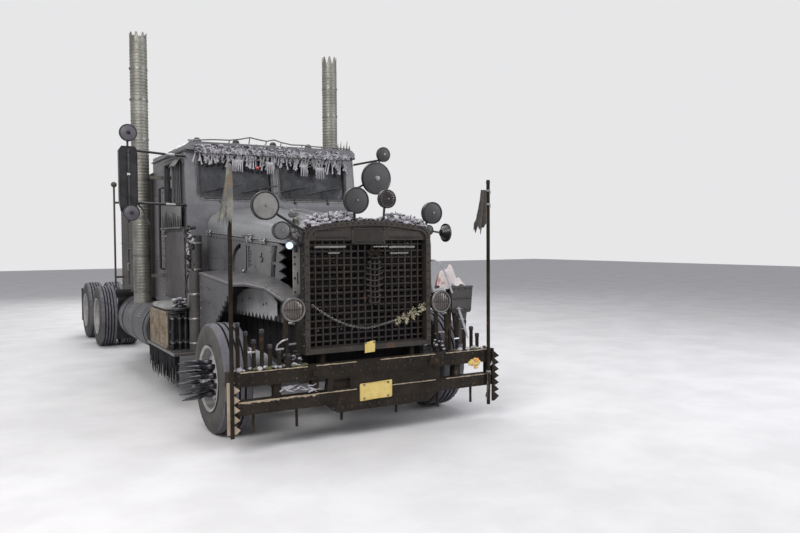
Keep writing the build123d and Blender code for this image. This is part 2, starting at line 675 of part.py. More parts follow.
# Round spot mirrors and lamps on arms from the grille shell
# x, z, radius, foot x, foot z
SPOTS = (
    (-970.0, 2030.0, 116.0, -600.0, 1815.0),
    (-830.0, 1825.0, 75.0, -625.0, 1700.0),
    (-130.0, 2090.0, 115.0, -130.0, 1895.0),
    (180.0, 2110.0, 82.0, 160.0, 1895.0),
    (660.0, 1990.0, 100.0, 590.0, 1820.0),
)
spots = []
for x, z, r, fx, fz in SPOTS:
    head = dish(x, -790, z, r, 60 + 0.5 * r)
    stalk = rod((fx, -745, fz), (x, -745, z), 11)
    shell_cut = arch_solid(GRILLE_X, GRILLE_Z0, GRILLE_SHOULDER_Z, GRILLE_CREST_Z, 110, GRILLE_Y0, GRILLE_Y1)
    spots.append(cut(fuse(head, stalk), shell_cut))
save("spot_lamps", *spots)

# Cab front wall with the two windshield openings
front_outline = [
    (CAB_Y0, CAB_Z0), (CAB_Y0 + 60, CAB_Z0), (CAB_Y0 + 60, 2140),
    (CAB_Y0 + 155, CAB_Z1), (CAB_Y0 + 85, CAB_Z1), (CAB_Y0, 2140),
]
cab_front = side_prism(front_outline, -CAB_X, CAB_X)
PANE_X = (45.0, 890.0)
PANE_Z = (2215.0, 2655.0)
PANE_R = 70.0


def pane_cutter(sx):
    w = PANE_X[1] - PANE_X[0]
    h = PANE_Z[1] - PANE_Z[0]
    face = RectangleRounded(w, h, PANE_R)
    middle = (sx * (PANE_X[0] + w / 2), CAB_Y0 - 100, PANE_Z[0] + h / 2)
    return Plane(origin=middle, x_dir=(1, 0, 0), z_dir=(0, 1, 0)) * extrude(face, 400)


cab_front = cut(cab_front, pane_cutter(1), pane_cutter(-1))
cab_front = cut(cab_front, block(-230, 230, 1400, 1700, CAB_Z0 - 10, 1190))
save("cab_front", cab_front)
slab_outline = [(CAB_Y0 + 25, 2140), (CAB_Y0 + 33, 2140), (CAB_Y0 + 128, CAB_Z1), (CAB_Y0 + 120, CAB_Z1)]
slab = side_prism(slab_outline, -CAB_X, CAB_X)
save("windshield", common(pane_cutter(1), slab), common(pane_cutter(-1), slab))

# Cab sides, back, floor and roof
side = block(CAB_X - CAB_WALL, CAB_X, CAB_Y0 + 20, CAB_Y1, CAB_Z0, CAB_Z1)
side = cut(side, block(900, 1100, DOOR_Y[0], DOOR_Y[1], DOOR_Z[0], DOOR_Z[1]))
side = cut(side, side_prism(front_outline, -CAB_X, CAB_X))
ahead_of_wall = [
    (CAB_Y0, CAB_Z0 - 10), (CAB_Y0 + 30, CAB_Z0 - 10), (CAB_Y0 + 30, 2140),
    (CAB_Y0 + 120, 2760), (CAB_Y0, 2760),
]
side = cut(side, side_prism(ahead_of_wall, 900, 1100))
HINGE_OUT = 16.0
DOOR_PIN_R = 7.0
DOOR_BARREL_R = 14.0
DOOR_HINGE_Z = (1220.0, 1780.0)
door_hx = CAB_X + HINGE_OUT
door_hy = DOOR_Y[0]
for z in DOOR_HINGE_Z:
    barrel = rod((door_hx, door_hy, z), (door_hx, door_hy, z + 40), DOOR_BARREL_R)
    pin = rod((door_hx, door_hy, z), (door_hx, door_hy, z + 95), DOOR_PIN_R)
    leaf = block(CAB_X - 5, door_hx, door_hy - 32, door_hy - 2, z, z + 40)
    side = fuse(side, barrel, pin, leaf)
save("cab_sides", side, swing(side))
back = block(-CAB_X + CAB_WALL, CAB_X - CAB_WALL, CAB_Y1 - CAB_WALL, CAB_Y1, CAB_Z0, CAB_Z1)
back = cut(back, block(-350, 350, CAB_Y1 - 100, CAB_Y1 + 10, 1150, 2450))
save("cab_back", back)
floor = block(-CAB_X + CAB_WALL, CAB_X - CAB_WALL, CAB_Y0 + 60, CAB_Y1 - CAB_WALL, CAB_Z0, CAB_Z0 + 60)
sills = [block(sx * 350, sx * RAIL_X, y, y + 100, RAIL_Z1, CAB_Z0) for sx in (-1, 1) for y in (1700, 2900)]
floor = cut(floor, block(-230, 230, 1500, 2250, CAB_Z0 - 10, CAB_Z0 + 200))
tunnel = block(-260, 260, CAB_Y0 + 60, 2300, CAB_Z0, 1220)
tunnel = cut(tunnel, block(-230, 230, 1500, 2260, CAB_Z0 - 10, 1190))
save("cab_floor", fuse(floor, sills, tunnel))
roof = block(-CAB_X, CAB_X, CAB_Y0 + 20, CAB_Y1, CAB_Z1, ROOF_Z)
roof = chamfer(roof.edges().filter_by(Axis.Y).group_by(Axis.Z)[-1], 40)
VISOR_CLEAR = 7.0
visor_y = HOOD_Y1 + VISOR_CLEAR
visor = side_prism([(1530, 2742), (1530, 2774), (visor_y, 2724), (visor_y, 2706)], -940, 940)
crown = [block(x - 9, x + 9, 1530, 1548, 2800, 2860) for x in (840, 880, 920)]
save("cab_roof", fuse(roof, visor, crown))


# The door's front edge follows the raked pillar
RAKE = (155.0 - 60.0) / (CAB_Z1 - 2140.0)
rake_y = CAB_Y0 + 60 + 10
rake_edge = [(1500, 2000), (rake_y - 140 * RAKE, 2000), (rake_y + 660 * RAKE, 2800), (1500, 2800)]
rake_clear = side_prism(rake_edge, 900, 1100)


# Doors
def door():
    y0 = DOOR_Y[0] + DOOR_GAP
    y1 = DOOR_Y[1] - DOOR_GAP
    leaf = block(CAB_X - 55, CAB_X, y0, y1, DOOR_Z[0] + DOOR_GAP, DOOR_Z[1] - DOOR_GAP)
    leaf = cut(leaf, door_window(0), rake_clear)
    ledge = block(CAB_X - 5, CAB_X + 55, DOOR_Y[0] + 20, DOOR_Y[1] - 20, 1880, 1900)
    hinges = []
    for z in DOOR_HINGE_Z:
        barrel = rod((door_hx, door_hy, z + 40.3), (door_hx, door_hy, z + 90), DOOR_BARREL_R)
        tongue = block(CAB_X + 0.5, door_hx, door_hy + 2, door_hy + 60, z + 40.3, z + 90)
        root = block(CAB_X - 5, door_hx, door_hy + 20, door_hy + 60, z + 40.3, z + 90)
        bore = rod((door_hx, door_hy, z + 30), (door_hx, door_hy, z + 110), DOOR_PIN_R + RUN_CLEAR)
        hinges.append(cut(fuse(barrel, tongue, root), bore))
    return fuse(leaf, ledge, hinges)


def door_window(grow):
    y0, y1, z0, z1 = 1690.0, 2520.0, 2180.0, 2640.0
    w = y1 - y0
    h = z1 - z0
    middle = (CAB_X - 100, (y0 + y1) / 2, (z0 + z1) / 2)
    return Plane(origin=middle, x_dir=(0, 1, 0), z_dir=(1, 0, 0)) * extrude(RectangleRounded(w, h, 50), 200)


save("door_left", door())
save("door_right", swing(door()))
glass = common(door_window(0), block(CAB_X - 32, CAB_X - 26, 1000, 3000, 1000, 3000))
save("door_glass_left", glass)
save("door_glass_right", swing(glass))

# Sleeper
sl_out = block(-SLEEPER_X, SLEEPER_X, SLEEPER_Y[0], SLEEPER_Y[1], SLEEPER_Z[0], SLEEPER_Z[1])
sl_out = fillet(sl_out.edges().filter_by(Axis.Y).group_by(Axis.Z)[-1], 90)
sl_x = SLEEPER_X - SLEEPER_WALL
sl_y = (SLEEPER_Y[0] + SLEEPER_WALL, SLEEPER_Y[1] - SLEEPER_WALL)
sl_in = block(-sl_x, sl_x, sl_y[0], sl_y[1], SLEEPER_Z[0] + SLEEPER_WALL, SLEEPER_Z[1] - SLEEPER_WALL)
pass_cut = block(-350, 350, SLEEPER_Y[0] - 10, SLEEPER_Y[0] + 60, 1150, 2450)
sl_sills = []
for sx in (-1, 1):
    for y in (3400, 4900):
        sl_sills.append(block(sx * 350, sx * RAIL_X, y, y + 100, RAIL_Z1, SLEEPER_Z[0]))
link = block(-700, 700, CAB_Y1, SLEEPER_Y[0], 2480, 2560)
POST_X = 1200.0
POST_Y = 5000.0
post_parts = [rod((-POST_X, POST_Y, 1060), (-POST_X, POST_Y, 2560), 14)]
post_parts.append(Pos(-POST_X, POST_Y, 2580) * Sphere(42))
for z in (1200, 2300):
    post_parts.append(block(-POST_X, -SLEEPER_X + 5, POST_Y - 15, POST_Y + 15, z, z + 30))
save("sleeper", fuse(cut(sl_out, sl_in, pass_cut), sl_sills, link, post_parts))

# Seats and dashboard
seats = []
for sx in (-1, 1):
    base = block(sx * 520 - 200, sx * 520 + 200, 2350, 2800, CAB_Z0 + 60, 1400)
    cushion = block(sx * 520 - 250, sx * 520 + 250, 2280, 2840, 1400, 1540)
    rest_outline = [(2720, 1530), (2860, 1530), (2960, 2240), (2860, 2240)]
    rest = side_prism(rest_outline, sx * 520 - 240, sx * 520 + 240)
    seats.append(fuse(base, cushion, rest))
save("seats", *seats)
dash = block(-CAB_X + CAB_WALL, CAB_X - CAB_WALL, CAB_Y0 + 60, 1800, 1700, 2060)
column = rod((520, 1790, 1900), (520, 2060, 1985), 28)
wheel_plane = Plane(origin=(520, 2060, 1985), z_dir=(0, 270, 85))
steer = wheel_plane * Torus(225, 16)
spokes = [wheel_plane * Box(450, 26, 14), wheel_plane * Box(26, 450, 14)]
save("dashboard", fuse(dash, column, steer, spokes))

# Fuel tanks with straps and brackets
tanks = []
for sx in (-1, 1):
    body = rod((sx * TANK_X, TANK_Y[0], TANK_Z), (sx * TANK_X, TANK_Y[1], TANK_Z), TANK_R)
    straps = [rod((sx * TANK_X, y, TANK_Z), (sx * TANK_X, y + 70, TANK_Z), TANK_R + 8) for y in (2750, 4130)]
    arms = [block(sx * RAIL_X, sx * 760, y, y + 70, 720, 800) for y in (2750, 4130)]
    tanks.append(fuse(body, straps, arms))
save("fuel_tanks", *tanks)

# Air tanks hung outside the rails, behind the fuel tanks
air = []
for sx in (-1, 1):
    body = rod((sx * 600, 4700, 800), (sx * 600, 5550, 800), 125)
    straps = [rod((sx * 600, y, 800), (sx * 600, y + 40, 800), 131) for y in (4850, 5360)]
    arms = [block(sx * RAIL_X, sx * 500, y, y + 40, 740, 860) for y in (4850, 5360)]
    air.append(fuse(body, straps, arms))
save("air_tanks", *air)

# Mud flaps behind the last wheels, on hangers from the tail
flaps = []
for sx in (-1, 1):
    flap = block(sx * 640, sx * 1240, 8512, 8522, 260, 860)
    hanger = block(sx * 620, sx * 1240, 8522, 8560, 820, 862)
    flaps.append(fuse(flap, hanger))
save("mud_flaps", *flaps)

# Side boxes, step plates and cowl posts
boxes = []
for sx in (-1, 1):
    step = block(sx * 640, sx * 1262, 1190, 2480, 540, 570)
    chest = block(sx * 950, sx * 1250, 1500, 2350, 570, 980)
    hang = [block(sx * RAIL_X, sx * 660, y, y + 60, 540, 780) for y in (1500, 2300)]
    post = rod((sx * 1000, 1300, 570), (sx * 1000, 1300, 1800), 70)
    tie = block(sx * 960, sx * 1010, 1300, CAB_Y0, 1600, 1640)
    boxes.append(fuse(step, chest, hang, post, tie))
save("side_boxes", *boxes)

# Exhaust stacks with crown-cut tops
stacks = []
for sx in (-1, 1):
    pipe = rod((sx * STACK_X, STACK_Y, STACK_Z[0]), (sx * STACK_X, STACK_Y, STACK_Z[1]), STACK_R)
    top = STACK_Z[1]
    bore = rod((sx * STACK_X, STACK_Y, top - 700), (sx * STACK_X, STACK_Y, top + 10), STACK_R - 10)
    ties = [block(sx * CAB_X, sx * STACK_X, STACK_Y - 20, STACK_Y + 20, z, z + 40) for z in (1300, 2500)]
    pipe = cut(fuse(pipe, ties), bore)
    notch = []
    for i in range(4):
        a = math.pi * i / 4
        dx = math.cos(a)
        dy = math.sin(a)
        tri = make_face(Polyline((-32, 10), (0, -110), (32, 10), close=True))
        plane = Plane(origin=(sx * STACK_X, STACK_Y, STACK_Z[1]), x_dir=(-dy, dx, 0), z_dir=(dx, dy, 0))
        notch.append(plane * (Pos(0, 0, -150) * extrude(tri, 300, dir=(0, 0, 1))))
    stacks.append(cut(pipe, notch))
save("exhaust_stacks", *stacks)

# Fifth wheel base and rocking plate
base = block(-RAIL_X, RAIL_X, FIFTH_Y - 330, FIFTH_Y + 330, RAIL_Z1, RAIL_Z1 + 20)
ears = []
for sx in (-1, 1):
    ears.append(block(sx * 290, sx * 330, FIFTH_Y - 80, FIFTH_Y + 80, RAIL_Z1 + 10, FIFTH_PIVOT_Z + 40))
base = fuse(base, ears)
base = cut(base, rod((-400, FIFTH_Y, FIFTH_PIVOT_Z), (400, FIFTH_Y, FIFTH_PIVOT_Z), FIFTH_PIN_R + RUN_CLEAR))
save("fifth_wheel_base", base)
plate = rod((0, FIFTH_Y, FIFTH_TOP - 40), (0, FIFTH_Y, FIFTH_TOP), 470)
plate = cut(plate, rod((0, FIFTH_Y, 1000), (0, FIFTH_Y, 1300), 26))
throat_edge = [(-30, FIFTH_Y + 75), (-190, FIFTH_Y + 500), (190, FIFTH_Y + 500), (30, FIFTH_Y + 75)]
throat_face = make_face(Polyline(*throat_edge, close=True))
throat = Pos(0, 0, FIFTH_TOP - 60) * extrude(throat_face, 100, dir=(0, 0, 1))
plate = cut(plate, throat)
ribs = []
pins = []
for sx in (-1, 1):
    ribs.append(block(sx * 345, sx * 375, FIFTH_Y - 150, FIFTH_Y + 150, FIFTH_PIVOT_Z - 40, FIFTH_TOP - 35))
    pins.append(rod((sx * 270, FIFTH_Y, FIFTH_PIVOT_Z), (sx * 350, FIFTH_Y, FIFTH_PIVOT_Z), FIFTH_PIN_R))
save("fifth_wheel_plate", fuse(plate, ribs, pins))

# Mirrors: tall head on the right side, round heads on the left side
MIRROR_Y = 1530.0
mr = []
HEAD_OUTLINE = [
    (-MIRROR_TIP_X, 2690), (-1690, 2730), (-1560, 2730), (-1530, 2690), (-1530, 2160),
    (-1560, 2050), (-1600, 1990),
    (-1660, 1990), (-1700, 2060), (-MIRROR_TIP_X, 2160),
]
head = front_prism(HEAD_OUTLINE, MIRROR_Y - 20, MIRROR_Y + 30)
mr.append(head)
mr.append(rod((-1625, MIRROR_Y, 1940), (-1625, MIRROR_Y, 2870), 11))
mr.append(rod((-1625, MIRROR_Y, 2700), (-1015, MIRROR_Y + 20, 2660), 13))
mr.append(rod((-1625, MIRROR_Y, 2150), (-1015, MIRROR_Y + 20, 2130), 13))
mr.append(dish(-1625, MIRROR_Y - 50, 2870, 90, 50))
mr.append(dish(-1610, MIRROR_Y - 70, 2040, 85, 55))
mirror_right = cut(fuse(*mr), block(-CAB_X, CAB_X, 1400, 2000, 1500, 2900))
save("mirror_right", mirror_right)
ml = []
ml.append(rod((1015, MIRROR_Y + 20, 2660), (1400, MIRROR_Y, 2740), 13))
ml.append(rod((1015, MIRROR_Y + 20, 2350), (1290, MIRROR_Y, 2500), 13))
ml.append(dish(1290, MIRROR_Y - 70, 2500, 200, 80))
ml.append(rod((1290, MIRROR_Y, 2500), (1400, MIRROR_Y, 2800), 11))
ml.append(dish(1400, MIRROR_Y - 50, 2800, 92, 60))
save("mirror_left", cut(fuse(*ml), block(-CAB_X, CAB_X, 1400, 2000, 1500, 2900)))

# Hood-side spot mirror on the left, on a long arm
SPOT_Y = 560.0
arm = rod((700, SPOT_Y, 1560), (1450, SPOT_Y, 1850), 13)
arm2 = rod((1450, SPOT_Y, 1850), (1640, SPOT_Y, 1820), 11)
low = (Align.CENTER, Align.CENTER, Align.MIN)
saucer = Plane(origin=(1640, SPOT_Y, 1820), z_dir=(1, 0, 0)) * Cone(40, 105, 80, align=low)
ring = dish(1450, SPOT_Y - 40, 1850, 60, 50)
side_mirror = cut(fuse(arm, arm2, saucer, ring), hood_wedge(0))
save("side_mirror_left", common(side_mirror, block(0, MIRROR_TIP_X, -1000, 2000, 1000, 3000)))
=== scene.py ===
import bpy
import math
import random
from mathutils import Matrix, Vector


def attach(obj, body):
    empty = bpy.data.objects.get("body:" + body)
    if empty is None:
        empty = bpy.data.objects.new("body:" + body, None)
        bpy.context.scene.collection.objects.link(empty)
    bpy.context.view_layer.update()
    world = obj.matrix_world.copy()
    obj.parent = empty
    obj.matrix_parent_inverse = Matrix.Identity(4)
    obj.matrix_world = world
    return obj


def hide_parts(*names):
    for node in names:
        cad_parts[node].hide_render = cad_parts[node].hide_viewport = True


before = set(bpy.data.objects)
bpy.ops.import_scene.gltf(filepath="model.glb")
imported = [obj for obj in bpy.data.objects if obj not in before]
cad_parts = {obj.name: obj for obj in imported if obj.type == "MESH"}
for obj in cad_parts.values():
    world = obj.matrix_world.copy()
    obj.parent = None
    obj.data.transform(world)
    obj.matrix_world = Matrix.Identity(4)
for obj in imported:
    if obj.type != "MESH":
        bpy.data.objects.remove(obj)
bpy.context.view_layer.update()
PI = math.pi
MIDDLE_Y = 3850.0     # the row frame's middle, in mm behind the front axle
FRONT, BACK, UP = (0, -1, 0), (0, 1, 0), (0, 0, 1)
MM_X = (0.001, 0, 0)
MM_Z = (0, 0, 0.001)
SIDES = {"left": 1.0, "right": -1.0}
WHEEL_X, DUAL_X, WHEEL_Z = 1110, 770, 500
DRIVE_AXLES = (("front", 6630.0), ("back", 7950.0))


def T(x, y, z):
    # A truck point in mm, y counted back from the front axle, as a row point in metres
    return Vector((x / 1000.0, (y - MIDDLE_Y) / 1000.0, z / 1000.0))


# Materials

def nodes_of(name):
    mat = bpy.data.materials.new(name)
    mat.use_nodes = True
    tree = mat.node_tree
    tree.nodes.clear()
    out = tree.nodes.new("ShaderNodeOutputMaterial")
    shader = tree.nodes.new("ShaderNodeBsdfPrincipled")
    tree.links.new(shader.outputs[0], out.inputs[0])
    return mat, tree, shader


class Net:
    # Short ways to add and link one material's nodes
    def __init__(self, tree):
        self.t = tree
        geo = tree.nodes.new("ShaderNodeNewGeometry")
        coord = tree.nodes.new("ShaderNodeTexCoord")
        self.pos = coord.outputs["Object"]
        self.normal = geo.outputs["Normal"]

    def put(self, socket, value):
        if isinstance(value, bpy.types.NodeSocket):
            self.t.links.new(value, socket)
        else:
            socket.default_value = value

    def node(self, kind, **inputs):
        # A node with its inputs set, or linked, by name
        n = self.t.nodes.new("ShaderNode" + kind)
        for name, value in inputs.items():
            self.put(n.inputs[name.replace("_", " ")], value)
        return n

    def math(self, op, a, b):
        n = self.node("Math")
        n.operation = op
        self.put(n.inputs[0], a)
        self.put(n.inputs[1], b)
        return n.outputs[0]

    def scaled(self, scale, offset=0.0):
        shift = (offset, offset * 0.7, offset * 1.3)
        return self.node("Mapping", Vector=self.pos, Scale=scale, Location=shift).outputs[0]

    def noise(self, scale, detail=4.0, rough=0.55, vector=None, distort=0.0):
        vector = self.pos if vector is None else vector
        return self.node("TexNoise", Vector=vector, Scale=scale, Detail=detail, Roughness=rough,
                         Distortion=distort).outputs["Fac"]

    def wave(self, scale, vector, distort, axis):
        n = self.node("TexWave", Vector=vector, Scale=scale, Distortion=distort, Detail=1.0)
        n.wave_type = "BANDS"
        n.bands_direction = axis
        return n.outputs["Fac"]

    def span(self, value, a, b, lo=0.0, hi=1.0):
        n = self.node("MapRange", Value=value, From_Min=a, From_Max=b, To_Min=lo, To_Max=hi)
        n.interpolation_type = "SMOOTHSTEP"
        return n.outputs[0]

    def mix(self, fac, a, b):
        n = self.node("Mix")
        n.data_type = "RGBA"
        self.put(n.inputs[0], fac)
        for socket, value in ((n.inputs[6], a), (n.inputs[7], b)):
            if isinstance(value, (tuple, list)):
                value = (*value[:3], 1.0)
            self.put(socket, value)
        return n.outputs[2]

    def split(self, vector):
        return self.node("SeparateXYZ", Vector=vector).outputs

    def bump(self, height, strength, distance, under=None):
        n = self.node("Bump", Strength=strength, Distance=distance, Height=height)
        if under is not None:
            self.put(n.inputs["Normal"], under)
        return n.outputs[0]


def finish(bsdf, n, **inputs):
    for name, value in inputs.items():
        n.put(bsdf.inputs[name.replace("_", " ")], value)


RUST = ((0.040, 0.020, 0.013), (0.095, 0.046, 0.026))
DUST = (0.36, 0.33, 0.34)


def surface(name, base, alt, metal=0.0, rough=(0.4, 0.7), scale=3.0, grain=70.0, bump=0.25, rust=0.0,
            dust=0.0, streak=0.0, low=0.0, chips=0.0, coat=0.0, offset=0.0, dust_tone=DUST, specular=0.5):
    mat, tree, bsdf = nodes_of(name)
    n = Net(tree)
    place = n.scaled((1, 1, 1), offset)
    broad = n.noise(scale, 5.0, 0.6, place, 0.4)
    fine = n.noise(grain, 4.0, 0.6, place)
    colour = n.mix(n.span(broad, 0.35, 0.68), base, alt)
    dark = tuple(c * 0.72 for c in base)
    colour = n.mix(n.span(fine, 0.45, 0.75, 0.0, 0.45), colour, dark)
    roughness = n.span(fine, 0.3, 0.7, rough[0], rough[1])
    height = n.math("MULTIPLY", fine, 0.5)
    metallic = metal
    if streak:
        runs = n.noise(1.0, 4.0, 0.6, n.scaled((16, 16, 0.9), offset + 3.0))
        runs = n.span(runs, 0.56, 0.72, 0.0, streak)
        colour = n.mix(runs, colour, tuple(c * 0.45 + 0.02 for c in base))
    if rust:
        patch = n.noise(4.3, 9.0, 0.68, n.scaled((1, 1, 1), offset + 9.0), 0.3)
        edge = 0.72 - 0.34 * rust
        mask = n.span(patch, edge, edge + 0.07)
        tone = n.mix(n.span(fine, 0.35, 0.65), RUST[0], RUST[1])
        colour = n.mix(mask, colour, tone)
        roughness = n.mix(mask, roughness, (0.85, 0.85, 0.85))
        height = n.math("ADD", height, n.math("MULTIPLY", mask, 0.5))
        if metal:
            metallic = n.math("MULTIPLY", n.math("SUBTRACT", 1.0, mask), metal)
    if chips:
        spots = n.noise(23.0, 6.0, 0.75, n.scaled((1, 1, 1), offset + 5.0))
        mask = n.span(spots, 0.68 - 0.12 * chips, 0.71 - 0.12 * chips)
        colour = n.mix(mask, colour, tuple(min(1.0, c * 0.5 + 0.16) for c in base))
    up = n.split(n.normal)[2]
    if dust:
        film = n.noise(9.0, 6.0, 0.7, n.scaled((1, 1, 1), offset + 2.0))
        lay = n.math("MULTIPLY", n.span(up, -0.1, 0.95, 0.25, 1.0), n.span(film, 0.3, 0.7, 0.3, 1.0))
        lay = n.math("MULTIPLY", lay, dust)
        colour = n.mix(lay, colour, dust_tone)
        roughness = n.mix(n.math("MULTIPLY", lay, 0.8), roughness, (0.9, 0.9, 0.9))
    if low:
        z = n.split(n.pos)[2]
        film = n.noise(6.0, 6.0, 0.7, n.scaled((1, 1, 1), offset + 12.0))
        rise = n.math("MULTIPLY", n.span(z, 0.2, 1.3, low, 0.0), n.span(film, 0.3, 0.65, 0.2, 1.0))
        colour = n.mix(rise, colour, (0.23, 0.20, 0.18))
        roughness = n.mix(rise, roughness, (0.92, 0.92, 0.92))
    finish(bsdf, n, Base_Color=colour, Metallic=metallic, Roughness=roughness, Specular_IOR_Level=specular,
           Coat_Weight=coat, Coat_Roughness=0.18, Normal=n.bump(height, bump, 0.004))
    return mat


